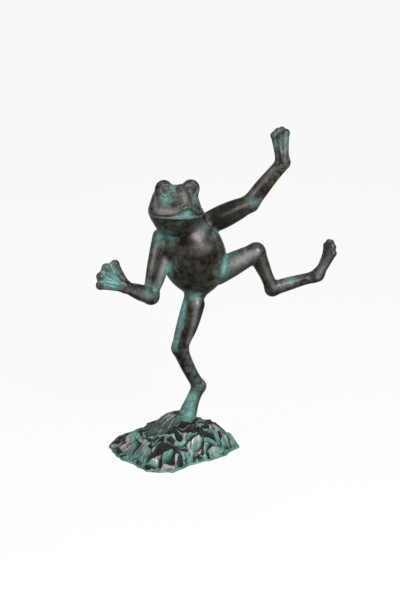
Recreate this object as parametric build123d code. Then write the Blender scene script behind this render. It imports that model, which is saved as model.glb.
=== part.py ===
from build123d import *
import os
from math import cos, radians, sin

# Dancing frog figurine on a rock, in millimetres.
# Cast sections butt at their joints, are pinned with steel dowels, and stand on a hollow rock
# that one stud, washer and nut hold from below. +Z is up, the frog faces -Y, its own left side
# is towards +X, and the origin is on the floor under the middle of the rock.

# Shared clearances
OVERRUN = 30.0
DOWEL_CLEARANCE = 0.05
SPIGOT_CLEARANCE = 0.3

# Rock base
BASE_RADIUS = 94.0
ROCK_HEIGHT = 46.0
RIM_HEIGHT = 5.0
BASE_WALL = 6.0
CRAG_HEIGHT = 8.0
SEAT_X = 19.0
SEAT_Y = 16.5
SEAT_HEIGHT = 42.0
SEAT_SLOPE_DEG = 18.5
TOE_TURN_DEG = 201.0
SEAT_MARGIN = 4.0
BOSS_RADIUS = 13.0
BOSS_DEPTH = 26.0

# Fastening under the rock
STUD_RADIUS = 4.0
STUD_STEP = 5.0
STUD_GRIP = 7.0
STUD_END = 2.5
WASHER_RADIUS = 9.0
WASHER_THICKNESS = 1.6
NUT_ACROSS_FLATS = 13.0
NUT_HEIGHT = 6.5

# Standing leg, from the rock upwards
FOOT_LENGTH = 66.0
INSTEP_RISE = 15.0
INSTEP_STEP = 12.0
INSTEP_HALF_LENGTH = 25.0
INSTEP_HALF_WIDTH = 12.5
RIGHT_TARSUS_LENGTH = 48.6
RIGHT_SHIN_LENGTH = 75.4
RIGHT_THIGH_LENGTH = 91.4

# Lifted leg, from the hip outwards
LEFT_THIGH_LENGTH = 71.0
LEFT_SHIN_LENGTH = 67.3
LEFT_TARSUS_LENGTH = 68.9
LEFT_FOOT_LENGTH = 55.0

# Leg thicknesses
THIGH_RADIUS = 16.5
KNEE_RADIUS = 12.0
SHIN_RADIUS = 10.5
HEEL_RADIUS = 10.0
TARSUS_RADIUS = 8.8
ANKLE_RADIUS = 8.2
RIGHT_ANKLE_RADIUS = 10.5

# Arms, from the shoulder outwards
RIGHT_UPPER_ARM_LENGTH = 84.0
RIGHT_FOREARM_LENGTH = 51.3
RIGHT_HAND_LENGTH = 44.0
LEFT_UPPER_ARM_LENGTH = 65.1
LEFT_FOREARM_LENGTH = 74.3
LEFT_HAND_LENGTH = 50.0

# Arm thicknesses
SHOULDER_RADIUS = 14.8
ELBOW_RADIUS = 12.0
FOREARM_RADIUS = 11.4
WRIST_RADIUS = 9.0

# Digits and webs
FINGER_ROOT_RADIUS = 4.2
FINGER_TIP_RADIUS = 3.4
TOE_ROOT_RADIUS = 4.6
TOE_TIP_RADIUS = 3.2
WEB_THICKNESS = 3.0

# Torso
TORSO_LENGTH = 106.0
TORSO_HALF_WIDTH = 46.5
TORSO_WALL = 5.0
TORSO_POLE_DROP = 13.0
RIGHT_HIP_OUT = 8.0
LEFT_HIP_OUT = 19.0
LEFT_HIP_UP = 10.5
SPIGOT_LENGTH = 10.0
SPIGOT_WALL = 4.0
LIMB_BOSS_WALL = 4.0

# Head
NECK_LENGTH = 36.5
HEAD_HALF_WIDTH = 38.0
HEAD_HEIGHT = 60.0
HEAD_WALL = 5.0
EYE_DOME_RADIUS = 13.0
EYEBALL_RADIUS = 8.0
MOUTH_GAP = 1.8
MOUTH_DEPTH = 2.5

# Dowels and pins
HIP_DOWEL_RADIUS = 5.0
HIP_DOWEL_HALF_LENGTH = 15.0
LIMB_DOWEL_RADIUS = 3.0
LIMB_DOWEL_HALF_LENGTH = 9.0
HAND_DOWEL_RADIUS = 2.0
HAND_DOWEL_HALF_LENGTH = 6.5
NECK_PIN_RADIUS = 2.0
NECK_PIN_HALF_LENGTH = 3.2
NECK_PIN_COUNT = 3

# Pose, as a turn about +Z from +X and a rise above the floor, in degrees
RIGHT_TARSUS_POSE = (38.6, 62.5)
RIGHT_SHIN_POSE = (-139.9, 61.8)
RIGHT_THIGH_POSE = (34.8, 71.0)
TORSO_POSE = (171.6, 73.0)
TORSO_SIDE_POSE = (12.0, 13.0)
NECK_POSE = (-140.8, 57.4)
HEAD_TURN_DEG = 24.0
HEAD_NOD_DEG = -6.0
RIGHT_UPPER_ARM_POSE = (-120.9, -70.7)
RIGHT_FOREARM_POSE = (-136.0, 26.0)
RIGHT_HAND_POSE = (-163.5, 38.0)
RIGHT_PALM_POSE = (-80.0, 20.0)
LEFT_UPPER_ARM_POSE = (13.6, 21.1)
LEFT_FOREARM_POSE = (3.7, 51.3)
LEFT_HAND_POSE = (-120.0, 84.5)
LEFT_PALM_POSE = (-72.0, 0.0)
LEFT_THIGH_POSE = (-5.6, 29.4)
LEFT_SHIN_POSE = (36.0, -63.0)
LEFT_TARSUS_POSE = (6.9, 14.5)
LEFT_FOOT_POSE = (5.9, 68.4)
LEFT_SOLE_POSE = (10.0, -20.0)

# Shares of the sizes above, chosen by hand
FOOTPRINT_shares = (
    1.00, 0.97, 0.92, 0.86, 0.87, 0.84, 0.88, 0.96,
    1.01, 0.94, 0.90, 1.01, 0.99, 0.72, 0.75, 0.84,
)
SHOULDER_RING_shares = (
    0.76, 0.70, 0.75, 0.68, 0.74, 0.69, 0.76, 0.70,
    0.72, 0.68, 0.76, 0.70, 0.75, 0.80, 0.72, 0.78,
)
SHOULDER_RISE_shares = (
    0.62, 0.64, 0.54, 0.58, 0.52, 0.54, 0.32, 0.32,
    0.44, 0.52, 0.44, 0.56, 0.48, 0.60, 0.64, 0.60,
)
CREST_RING_shares = (
    0.44, 0.38, 0.45, 0.36, 0.44, 0.38, 0.46, 0.40,
    0.44, 0.36, 0.45, 0.38, 0.44, 0.40, 0.46, 0.40,
)
CREST_RISE_shares = (
    0.90, 0.88, 0.78, 0.84, 0.80, 0.84, 0.72, 0.74,
    0.72, 0.70, 0.72, 0.80, 0.76, 0.84, 0.90, 0.84,
)
# Lifts of the crags, dealt out round the rock in steps
CRAG_LIFT_shares = (0.50, -0.35, 0.10, -0.50, 0.40, -0.10, 0.30, -0.45, 0.20, 0.00, -0.25)
CRAG_TURN_STEP = 5
CRAG_RING_STEP = 3
# Torso sections from the lower pole to the neck: rise, half width
TORSO_SECTION_shares = (
    (0.00, 0.15), (0.05, 0.39), (0.16, 0.67), (0.31, 0.90),
    (0.48, 1.00), (0.69, 0.94), (0.877, 0.81), (1.00, 0.72),
)
TORSO_DEPTH_share = 0.86
HOLLOW_END_share = 0.9
SHOULDER_OUT_share = 0.777
SHOULDER_UP_share = 0.915
# Head sections from the throat to the crown: rise, half width, half depth, step forward
HEAD_SECTION_shares = (
    (-0.10, 1.00, 0.94, 0.10), (0.14, 0.90, 0.88, 0.05),
    (0.33, 0.68, 0.64, -0.04), (0.44, 0.34, 0.32, -0.06),
)
EYE_PLACE_shares = (0.53, -0.26, 0.36)
EYE_LOOK_shares = (0.45, -0.85, 0.10)
EYE_STEP_share = 0.55
MOUTH_CORNER_share = -0.05
MOUTH_MIDDLE_share = -0.17
JOINT_BALL_share = 0.92
FINGER_SPREAD_DEG = (-26.0, -8.5, 12.0, 26.0)
FINGER_LENGTH_shares = (0.92, 1.0, 1.0, 0.9)
CLOSED_SPREAD_DEG = (-13.0, -4.0, 5.0, 14.0)
TOE_SPREAD_DEG = (-22.0, -10.0, 2.0, 14.0, 26.0)
TOE_LENGTH_shares = (0.86, 0.96, 1.0, 0.96, 0.84)
CLOSED_TOE_SPREAD_DEG = (-20.0, -10.0, 0.0, 10.0, 20.0)
WEB_REACH_share = 0.88
SEAT_SPREAD_share = 1.3


def heading(turn, rise):
    """Unit vector that points along a turn about +Z and a rise above the floor, in degrees."""
    flat = cos(radians(rise))
    return Vector(flat * cos(radians(turn)), flat * sin(radians(turn)), sin(radians(rise)))


# Skeleton, from the rock up
right_ankle = Vector(SEAT_X, SEAT_Y, SEAT_HEIGHT)
right_heel = right_ankle + heading(*RIGHT_TARSUS_POSE) * RIGHT_TARSUS_LENGTH
right_knee = right_heel + heading(*RIGHT_SHIN_POSE) * RIGHT_SHIN_LENGTH
right_hip = right_knee + heading(*RIGHT_THIGH_POSE) * RIGHT_THIGH_LENGTH

torso_side = heading(*TORSO_SIDE_POSE)
torso_up = heading(*TORSO_POSE)
pelvis = right_hip + torso_side * RIGHT_HIP_OUT
torso_plane = Plane(origin=pelvis, x_dir=torso_side, z_dir=torso_up)
torso_foot = Plane(origin=pelvis - torso_up * TORSO_POLE_DROP, x_dir=torso_side, z_dir=torso_up)
neck_up = TORSO_LENGTH - TORSO_POLE_DROP
shoulder_out = TORSO_HALF_WIDTH * SHOULDER_OUT_share
shoulder_up = neck_up * SHOULDER_UP_share
left_hip = torso_plane.from_local_coords(Vector(LEFT_HIP_OUT, 0, LEFT_HIP_UP))
left_shoulder = torso_plane.from_local_coords(Vector(shoulder_out, 0, shoulder_up))
right_shoulder = torso_plane.from_local_coords(Vector(-shoulder_out, 0, shoulder_up))
neck = torso_plane.from_local_coords(Vector(0, 0, neck_up))
neck_plane = Plane(origin=neck, x_dir=torso_side, z_dir=torso_up)
neck_half_width = TORSO_HALF_WIDTH * TORSO_SECTION_shares[-1][1]
NECK_RADII = (neck_half_width, neck_half_width * TORSO_DEPTH_share)
head_centre = neck + heading(*NECK_POSE) * NECK_LENGTH
head_frame = Pos(*head_centre) * Rot(0, 0, HEAD_TURN_DEG) * Rot(HEAD_NOD_DEG, 0, 0)

right_elbow = right_shoulder + heading(*RIGHT_UPPER_ARM_POSE) * RIGHT_UPPER_ARM_LENGTH
right_wrist = right_elbow + heading(*RIGHT_FOREARM_POSE) * RIGHT_FOREARM_LENGTH
left_elbow = left_shoulder + heading(*LEFT_UPPER_ARM_POSE) * LEFT_UPPER_ARM_LENGTH
left_wrist = left_elbow + heading(*LEFT_FOREARM_POSE) * LEFT_FOREARM_LENGTH
left_knee = left_hip + heading(*LEFT_THIGH_POSE) * LEFT_THIGH_LENGTH
left_heel = left_knee + heading(*LEFT_SHIN_POSE) * LEFT_SHIN_LENGTH
left_ankle = left_heel + heading(*LEFT_TARSUS_POSE) * LEFT_TARSUS_LENGTH

# The seat is the sloping face on the rock that the standing foot lies on
toe_heading = heading(TOE_TURN_DEG, -SEAT_SLOPE_DEG)
seat_normal = toe_heading.cross(heading(TOE_TURN_DEG + 90.0, 0.0))
seat_plane = Plane(origin=right_ankle, x_dir=toe_heading, z_dir=seat_normal)
instep_top = right_ankle + heading(*RIGHT_TARSUS_POSE) * INSTEP_RISE
stud_place = right_ankle + toe_heading * STUD_STEP


class LimbJoint:
    """A flat joint between two sections, pinned by one dowel along the joint's normal."""

    def __init__(self, centre, way_in, way_out, dowel_radius, dowel_half_length):
        self.centre = centre
        self.normal = (way_in + way_out).normalized()
        self.plane = Plane(origin=centre, z_dir=self.normal)
        self.dowel_radius = dowel_radius
        self.dowel_half_length = dowel_half_length

    def rod(self, radius, half_length):
        """A cylinder along the dowel's axis, centred on the joint."""
        start = Plane(origin=self.centre - self.normal * half_length, z_dir=self.normal)
        return Solid.make_cylinder(radius, 2 * half_length, start)

    def dowel(self):
        return self.rod(self.dowel_radius, self.dowel_half_length)

    def bore(self):
        return self.rod(self.dowel_radius + DOWEL_CLEARANCE, self.dowel_half_length + DOWEL_CLEARANCE)


def ball(centre, radius):
    """A sphere at a point."""
    return Pos(*centre) * Sphere(radius)


def tube(start, end, radii):
    """A solid of round sections, evenly spaced from start to end."""
    along = end - start
    steps = len(radii) - 1
    planes = [Plane(origin=start + along * (i / steps), z_dir=along) for i in range(len(radii))]
    return loft([plane * Circle(radius) for plane, radius in zip(planes, radii)])


def largest(shape):
    """The largest solid of a shape."""
    return max(shape.solids(), key=lambda solid: solid.volume)


def section(form, start_joint, end_joint):
    """The part of a limb that lies between two joints, bored for their dowels."""
    piece = form
    if start_joint:
        piece = split(piece, bisect_by=start_joint.plane, keep=Keep.TOP) - start_joint.bore()
    if end_joint:
        piece = split(piece, bisect_by=end_joint.plane, keep=Keep.BOTTOM) - end_joint.bore()
    return largest(piece)


def skin_point(solid, inside, way):
    """Where a line from a point inside a solid leaves it."""
    line = Edge.make_line(inside, inside + way * TORSO_LENGTH)
    within = solid & line
    return max((v.center() for v in within.vertices()), key=lambda p: (p - inside).length)


def webbed_fan(plane, length, spread, length_shares, root_radius, tip_radius, heel_radius):
    """A hand or foot: digits that fan out from a round heel, with a web between them."""
    form = Sphere(heel_radius)
    web_points = []
    for turn, share in zip(spread, length_shares):
        way = Vector(cos(radians(turn)), sin(radians(turn)), 0)
        reach = length * share - tip_radius
        digit = Solid.make_cone(root_radius, tip_radius, reach, Plane(origin=(0, 0, 0), z_dir=way))
        form += digit
        form += Pos(*(way * reach)) * Sphere(tip_radius)
        web_points.append(way * (length * share * WEB_REACH_share))
    outline = Polyline((0, 0), *[(p.X, p.Y) for p in web_points], close=True)
    web = extrude(make_face(outline), amount=WEB_THICKNESS / 2, both=True)
    return plane * largest(form + web)


def rock_corner(turn, reach, rise):
    """A corner of the rock, at a turn about the origin."""
    return Vector(reach * cos(radians(turn)), reach * sin(radians(turn)), rise)


def rock_rings(inset):
    """Rings of corners from the floor to the crest, all drawn in by the inset."""
    count = len(FOOTPRINT_shares)
    turns = [360.0 * i / count for i in range(count)]
    reaches = [share * BASE_RADIUS for share in FOOTPRINT_shares]
    floor = [rock_corner(t, r - inset, 0) for t, r in zip(turns, reaches)]
    rim = [rock_corner(t, r - inset, RIM_HEIGHT) for t, r in zip(turns, reaches)]
    shoulder = [
        rock_corner(t, r * out - inset, ROCK_HEIGHT * up - inset)
        for t, r, out, up in zip(turns, reaches, SHOULDER_RING_shares, SHOULDER_RISE_shares)
    ]
    crest = [
        rock_corner(t, r * out - inset, ROCK_HEIGHT * up - inset)
        for t, r, out, up in zip(turns, reaches, CREST_RING_shares, CREST_RISE_shares)
    ]
    return [floor, rim, shoulder, crest]


def faceted(rings, top):
    """A solid of flat facets between rings of corners, closed below by a face and above by a point."""
    count = len(rings[0])
    corners = [rings[0]]
    for k, (low, high) in enumerate(zip(rings, rings[1:])):
        for i in range(count):
            j = (i + 1) % count
            if (i + k) % 2:
                corners += [(low[i], low[j], high[j]), (low[i], high[j], high[i])]
            else:
                corners += [(low[i], low[j], high[i]), (low[j], high[j], high[i])]
    corners += [(rings[-1][i], rings[-1][(i + 1) % count], top) for i in range(count)]
    return Solid(Shell([Face(Wire.make_polygon(facet, close=True)) for facet in corners]))


def halfway(ring, other):
    """Points halfway between two rings of corners."""
    return [(a + b) / 2 for a, b in zip(ring, other)]


def crag_form():
    """The outside of the rock: its rings with twice the corners, lifted and dropped in turn."""
    floor, rim, shoulder, crest = [
        [p for pair in zip(ring, halfway(ring, ring[1:] + ring[:1])) for p in pair] for ring in rock_rings(0)
    ]
    slope = [halfway(rim, shoulder), shoulder, halfway(shoulder, crest), crest]
    count = len(CRAG_LIFT_shares)
    crags = [
        [p + Vector(0, 0, CRAG_HEIGHT * CRAG_LIFT_shares[(CRAG_RING_STEP * k + CRAG_TURN_STEP * i) % count])
         for i, p in enumerate(ring)]
        for k, ring in enumerate(slope)
    ]
    return faceted([floor, rim, *crags], Vector(0, 0, ROCK_HEIGHT))


def hollow_form():
    """The space inside the rock, clear of the lowest crags by the wall."""
    inset = BASE_WALL + CRAG_HEIGHT / 2
    return faceted(rock_rings(inset), Vector(0, 0, ROCK_HEIGHT - inset))


def seat_pocket():
    """The space above the sloping seat that the standing foot needs."""
    reach = FOOT_LENGTH + SEAT_MARGIN
    side = INSTEP_HALF_WIDTH + SEAT_MARGIN
    back = INSTEP_STEP - INSTEP_HALF_LENGTH - SEAT_MARGIN
    fan = [
        (reach * share * cos(radians(turn)), reach * share * sin(radians(turn)))
        for turn, share in zip([SEAT_SPREAD_share * t for t in TOE_SPREAD_DEG], TOE_LENGTH_shares)
    ]
    outline = Polyline((back, -side), (0, -side), *fan, (0, side), (back, side), close=True)
    return seat_plane * extrude(make_face(outline), amount=SEAT_HEIGHT)


def upright(foot_rise, radius, height):
    """An upright cylinder on the stud's axis."""
    return Solid.make_cylinder(radius, height, Plane(origin=(stud_place.X, stud_place.Y, foot_rise)))


def stud_bore():
    """The hole for the stud, through the boss and blind in the foot."""
    return upright(0, STUD_RADIUS + DOWEL_CLEARANCE, stud_place.Z + STUD_GRIP + DOWEL_CLEARANCE)


def base_rock():
    outer = crag_form()
    under_seat = seat_plane.offset(-BASE_WALL)
    hollow = split(hollow_form(), bisect_by=under_seat, keep=Keep.BOTTOM)
    boss = upright(stud_place.Z - BOSS_DEPTH, BOSS_RADIUS, BOSS_DEPTH)
    return largest(outer - hollow + (boss & outer) - seat_pocket() - stud_bore())


def oval(half_width, half_depth, inset):
    """An ellipse across the torso or the head, drawn in by the inset."""
    return Ellipse(half_width - inset, half_depth - inset)


def torso_form(inset, end_share):
    """The torso from its lower pole up to a share of its length, drawn in by the inset."""
    half_width = TORSO_HALF_WIDTH - inset
    half_depth = TORSO_HALF_WIDTH * TORSO_DEPTH_share - inset
    rings = []
    for up, out in TORSO_SECTION_shares:
        if up <= end_share:
            rise = inset + (TORSO_LENGTH - inset) * up
            rings.append(torso_foot.location * Pos(0, 0, rise) * Ellipse(half_width * out, half_depth * out))
    return loft(rings)


def neck_drum(inset, start, end):
    """A straight oval drum about the torso's axis, between two heights above the neck's joint."""
    place = neck_plane.location * Pos(0, 0, start)
    return extrude(place * oval(*NECK_RADII, inset), amount=end - start, dir=torso_up)


def torso_shell():
    """The hollow torso with the neck's sleeve standing on it."""
    collar = -SPIGOT_LENGTH
    sleeve_inset = HEAD_WALL + SPIGOT_CLEARANCE
    body = whole_torso + neck_drum(sleeve_inset, collar, SPIGOT_LENGTH)
    bore = neck_drum(sleeve_inset + SPIGOT_WALL, collar - OVERRUN, SPIGOT_LENGTH + OVERRUN)
    return body - torso_form(TORSO_WALL, HOLLOW_END_share) - bore


def head_form(inset, neck_inset):
    """The head from the neck's flat joint to the crown, drawn in by the insets."""
    rings = [
        neck_plane.location * Pos(0, 0, -inset) * oval(*NECK_RADII, neck_inset),
        neck_plane.location * Pos(0, 0, SPIGOT_LENGTH) * oval(*NECK_RADII, neck_inset),
    ]
    for up, wide, deep, forward in HEAD_SECTION_shares:
        rise = (HEAD_HEIGHT - 2 * inset) * up
        place = Pos(0, -HEAD_HALF_WIDTH * forward, rise)
        half_width = (HEAD_HALF_WIDTH - inset) * wide
        half_depth = (HEAD_HALF_WIDTH - inset) * deep
        rings.append(head_frame * place * Ellipse(half_width, half_depth))
    return loft(rings)


def mouth_cut():
    """A curved slit along the smile, as deep as the lips are parted."""
    corner = HEAD_HEIGHT * MOUTH_CORNER_share
    middle = HEAD_HEIGHT * MOUTH_MIDDLE_share
    side = HEAD_HALF_WIDTH + OVERRUN
    upper = ThreePointArc((-side, corner), (0, middle), (side, corner))
    lower = ThreePointArc((-side, corner - MOUTH_GAP), (0, middle - MOUTH_GAP), (side, corner - MOUTH_GAP))
    ends = [Line(upper @ 0, lower @ 0), Line(upper @ 1, lower @ 1)]
    smile = make_face(Plane.XZ * (Curve() + [upper, lower, *ends]))
    sheet = extrude(smile, amount=HEAD_HALF_WIDTH + OVERRUN, dir=(0, -1, 0))
    return head_frame * sheet - head_form(MOUTH_DEPTH, MOUTH_DEPTH)


def head_shell():
    form = whole_head
    for side in (-1, 1):
        out, forward, up = EYE_PLACE_shares
        centre = Vector(side * HEAD_HALF_WIDTH * out, HEAD_HALF_WIDTH * forward, HEAD_HEIGHT * up)
        look = Vector(side * EYE_LOOK_shares[0], *EYE_LOOK_shares[1:]).normalized()
        eyeball = centre + look * (EYE_DOME_RADIUS * EYE_STEP_share)
        form += head_frame * ball(centre, EYE_DOME_RADIUS)
        form += head_frame * ball(eyeball, EYEBALL_RADIUS)
    socket = neck_drum(HEAD_WALL, -OVERRUN, SPIGOT_LENGTH + SPIGOT_CLEARANCE)
    return form - head_form(HEAD_WALL, HEAD_WALL + SPIGOT_WALL) - socket - mouth_cut()


def neck_pins(radius, half_length):
    """Radial pins that lock the head's wall to the neck's sleeve."""
    pins = []
    rise = neck_up + SPIGOT_LENGTH / 2
    for i in range(NECK_PIN_COUNT):
        turn = radians(90.0 + 360.0 * i / NECK_PIN_COUNT)
        out = Vector(cos(turn), sin(turn), 0)
        wide, deep = [radius - HEAD_WALL for radius in NECK_RADII]
        centre = Vector(wide * out.X, deep * out.Y, rise)
        start = Plane(origin=centre - out * half_length, z_dir=out)
        pins.append(torso_plane * Solid.make_cylinder(radius, 2 * half_length, start))
    return pins


def limb_boss(joint):
    """The thickened wall inside the torso that takes a limb's dowel."""
    rod = joint.rod(joint.dowel_radius + LIMB_BOSS_WALL, joint.dowel_half_length + LIMB_BOSS_WALL)
    return rod & whole_torso


def limb_joint(centre, pose_in, pose_out, pin):
    return LimbJoint(centre, heading(*pose_in), heading(*pose_out), *pin)


def torso_joint(inside, way, pin):
    """The pinned joint of a limb on the torso's skin."""
    return LimbJoint(skin_point(whole_torso, inside, way), way, way, *pin)


# Joints along the limbs
HIP_PIN = (HIP_DOWEL_RADIUS, HIP_DOWEL_HALF_LENGTH)
LIMB_PIN = (LIMB_DOWEL_RADIUS, LIMB_DOWEL_HALF_LENGTH)
HAND_PIN = (HAND_DOWEL_RADIUS, HAND_DOWEL_HALF_LENGTH)
whole_torso = torso_form(0, 1.0)
whole_head = head_form(0, 0)
chest = torso_plane.from_local_coords(Vector(0, 0, shoulder_up))
joints = {
    "right_ankle": limb_joint(instep_top, RIGHT_TARSUS_POSE, RIGHT_TARSUS_POSE, HAND_PIN),
    "right_heel": limb_joint(right_heel, RIGHT_TARSUS_POSE, RIGHT_SHIN_POSE, HAND_PIN),
    "right_knee": limb_joint(right_knee, RIGHT_SHIN_POSE, RIGHT_THIGH_POSE, LIMB_PIN),
    "right_hip": torso_joint(right_hip, heading(*RIGHT_THIGH_POSE) * -1.0, HIP_PIN),
    "right_shoulder": torso_joint(chest, torso_side * -1.0, LIMB_PIN),
    "right_elbow": limb_joint(right_elbow, RIGHT_UPPER_ARM_POSE, RIGHT_FOREARM_POSE, HAND_PIN),
    "right_wrist": limb_joint(right_wrist, RIGHT_FOREARM_POSE, RIGHT_HAND_POSE, HAND_PIN),
    "left_shoulder": torso_joint(chest, torso_side, LIMB_PIN),
    "left_elbow": limb_joint(left_elbow, LEFT_UPPER_ARM_POSE, LEFT_FOREARM_POSE, LIMB_PIN),
    "left_wrist": limb_joint(left_wrist, LEFT_FOREARM_POSE, LEFT_HAND_POSE, HAND_PIN),
    "left_hip": torso_joint(left_hip, heading(*LEFT_THIGH_POSE), HIP_PIN),
    "left_knee": limb_joint(left_knee, LEFT_THIGH_POSE, LEFT_SHIN_POSE, LIMB_PIN),
    "left_heel": limb_joint(left_heel, LEFT_SHIN_POSE, LEFT_TARSUS_POSE, HAND_PIN),
    "left_ankle": limb_joint(left_ankle, LEFT_TARSUS_POSE, LEFT_FOOT_POSE, HAND_PIN),
}


def limb(start, end, start_radius, middle_radius, end_radius):
    """A limb with a round ball at both ends and a slimmer tube between them."""
    radii = [start_radius * JOINT_BALL_share, middle_radius, end_radius * JOINT_BALL_share]
    return tube(start, end, radii) + ball(start, start_radius) + ball(end, end_radius)


def rooted(form, root, end_joint, below):
    """A limb that is fitted to the torso and the head at its root, and cut at its other joint."""
    piece = form - whole_torso - whole_head - root.bore()
    side = Keep.BOTTOM if below else Keep.TOP
    return largest(split(piece, bisect_by=end_joint.plane, keep=side) - end_joint.bore())


def fan_frame(centre, pose, palm_pose):
    """The frame of a hand or foot: X along the digits, Z out of the palm or sole."""
    way = heading(*pose)
    across = heading(*palm_pose).cross(way)
    return Plane(origin=centre, x_dir=way, z_dir=way.cross(across))


def standing_foot():
    """The foot that lies flat on the seat, with the instep that rises to the ankle."""
    fan = webbed_fan(seat_plane, FOOT_LENGTH, TOE_SPREAD_DEG, TOE_LENGTH_shares,
                     TOE_ROOT_RADIUS, TOE_TIP_RADIUS, INSTEP_HALF_WIDTH * JOINT_BALL_share)
    ankle = joints["right_ankle"]
    sole = seat_plane.location * Pos(INSTEP_STEP, 0) * Ellipse(INSTEP_HALF_LENGTH, INSTEP_HALF_WIDTH)
    instep = loft([sole, ankle.plane * Circle(RIGHT_ANKLE_RADIUS)])
    whole = split(fan, bisect_by=seat_plane, keep=Keep.TOP) + instep
    return largest(split(whole, bisect_by=ankle.plane, keep=Keep.BOTTOM) - ankle.bore() - stud_bore())


def build_figure():
    """Every node of the figure by name."""
    j = joints
    nodes = {"base_rock": base_rock(), "right_foot": standing_foot()}
    nodes["right_tarsus"] = section(
        tube(instep_top, right_heel, [RIGHT_ANKLE_RADIUS, TARSUS_RADIUS, HEEL_RADIUS * JOINT_BALL_share])
        + ball(right_heel, HEEL_RADIUS),
        j["right_ankle"], j["right_heel"])
    nodes["right_shin"] = section(
        limb(right_heel, right_knee, HEEL_RADIUS, SHIN_RADIUS, KNEE_RADIUS),
        j["right_heel"], j["right_knee"])
    nodes["right_thigh"] = rooted(
        limb(right_knee, right_hip, KNEE_RADIUS, THIGH_RADIUS, THIGH_RADIUS),
        j["right_hip"], j["right_knee"], below=False)

    nodes["left_thigh"] = rooted(
        limb(left_hip, left_knee, THIGH_RADIUS, THIGH_RADIUS, KNEE_RADIUS),
        j["left_hip"], j["left_knee"], below=True)
    nodes["left_shin"] = section(
        limb(left_knee, left_heel, KNEE_RADIUS, SHIN_RADIUS, HEEL_RADIUS),
        j["left_knee"], j["left_heel"])
    nodes["left_tarsus"] = section(
        limb(left_heel, left_ankle, HEEL_RADIUS, TARSUS_RADIUS, ANKLE_RADIUS),
        j["left_heel"], j["left_ankle"])
    nodes["left_foot"] = section(
        webbed_fan(fan_frame(left_ankle, LEFT_FOOT_POSE, LEFT_SOLE_POSE), LEFT_FOOT_LENGTH,
                   CLOSED_TOE_SPREAD_DEG, TOE_LENGTH_shares, TOE_ROOT_RADIUS, TOE_TIP_RADIUS,
                   ANKLE_RADIUS),
        j["left_ankle"], None)

    nodes["right_upper_arm"] = rooted(
        limb(right_shoulder, right_elbow, SHOULDER_RADIUS, SHOULDER_RADIUS, ELBOW_RADIUS),
        j["right_shoulder"], j["right_elbow"], below=True)
    nodes["right_forearm"] = section(
        limb(right_elbow, right_wrist, ELBOW_RADIUS, FOREARM_RADIUS, WRIST_RADIUS),
        j["right_elbow"], j["right_wrist"])
    nodes["right_hand"] = section(
        webbed_fan(fan_frame(right_wrist, RIGHT_HAND_POSE, RIGHT_PALM_POSE), RIGHT_HAND_LENGTH,
                   FINGER_SPREAD_DEG, FINGER_LENGTH_shares, FINGER_ROOT_RADIUS, FINGER_TIP_RADIUS,
                   WRIST_RADIUS),
        j["right_wrist"], None)

    nodes["left_upper_arm"] = rooted(
        limb(left_shoulder, left_elbow, SHOULDER_RADIUS, SHOULDER_RADIUS, ELBOW_RADIUS),
        j["left_shoulder"], j["left_elbow"], below=True)
    nodes["left_forearm"] = section(
        limb(left_elbow, left_wrist, ELBOW_RADIUS, FOREARM_RADIUS, WRIST_RADIUS),
        j["left_elbow"], j["left_wrist"])
    nodes["left_hand"] = section(
        webbed_fan(fan_frame(left_wrist, LEFT_HAND_POSE, LEFT_PALM_POSE), LEFT_HAND_LENGTH,
                   CLOSED_SPREAD_DEG, FINGER_LENGTH_shares, FINGER_ROOT_RADIUS, FINGER_TIP_RADIUS,
                   WRIST_RADIUS),
        j["left_wrist"], None)

    pin_bores = neck_pins(NECK_PIN_RADIUS + DOWEL_CLEARANCE, NECK_PIN_HALF_LENGTH + DOWEL_CLEARANCE)
    torso = torso_shell()
    head = head_shell()
    for name in ("right_hip", "left_hip", "right_shoulder", "left_shoulder"):
        torso += limb_boss(j[name])
        torso -= j[name].bore()
    for bore in pin_bores:
        torso -= bore
        head -= bore
    nodes["torso"] = largest(torso)
    nodes["head"] = largest(head)

    for name, joint in j.items():
        nodes[name + "_dowel"] = joint.dowel()
    nodes["neck_pins"] = Compound(neck_pins(NECK_PIN_RADIUS, NECK_PIN_HALF_LENGTH))

    washer_floor = stud_place.Z - BOSS_DEPTH - WASHER_THICKNESS
    nut_floor = washer_floor - NUT_HEIGHT
    hole = stud_bore()
    nut = extrude(RegularPolygon(NUT_ACROSS_FLATS / 2, 6, major_radius=False), amount=NUT_HEIGHT)
    nodes["foot_washer"] = upright(washer_floor, WASHER_RADIUS, WASHER_THICKNESS) - hole
    nodes["foot_nut"] = Pos(stud_place.X, stud_place.Y, nut_floor) * nut - hole
    stud_floor = nut_floor - STUD_END
    nodes["foot_stud"] = upright(stud_floor, STUD_RADIUS, stud_place.Z + STUD_GRIP - stud_floor)
    return nodes


os.makedirs("parts", exist_ok=True)
for node_name, node in build_figure().items():
    export_step(node, f"parts/{node_name}.step")
    print(node_name, round(node.volume), node.is_valid)
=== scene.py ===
# %% [markdown]
# # A bronze frog that dances on a rock
# The figurine is cast metal: a frog on one leg, pinned together from cast sections, on a craggy
# hollow rock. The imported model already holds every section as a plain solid. This lesson sculpts
# the real skin over those solids.

# %% Load the frame
from math import cos, pi, radians, sin

import bpy
import numpy as np
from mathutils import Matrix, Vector
from mathutils.bvhtree import BVHTree


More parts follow.
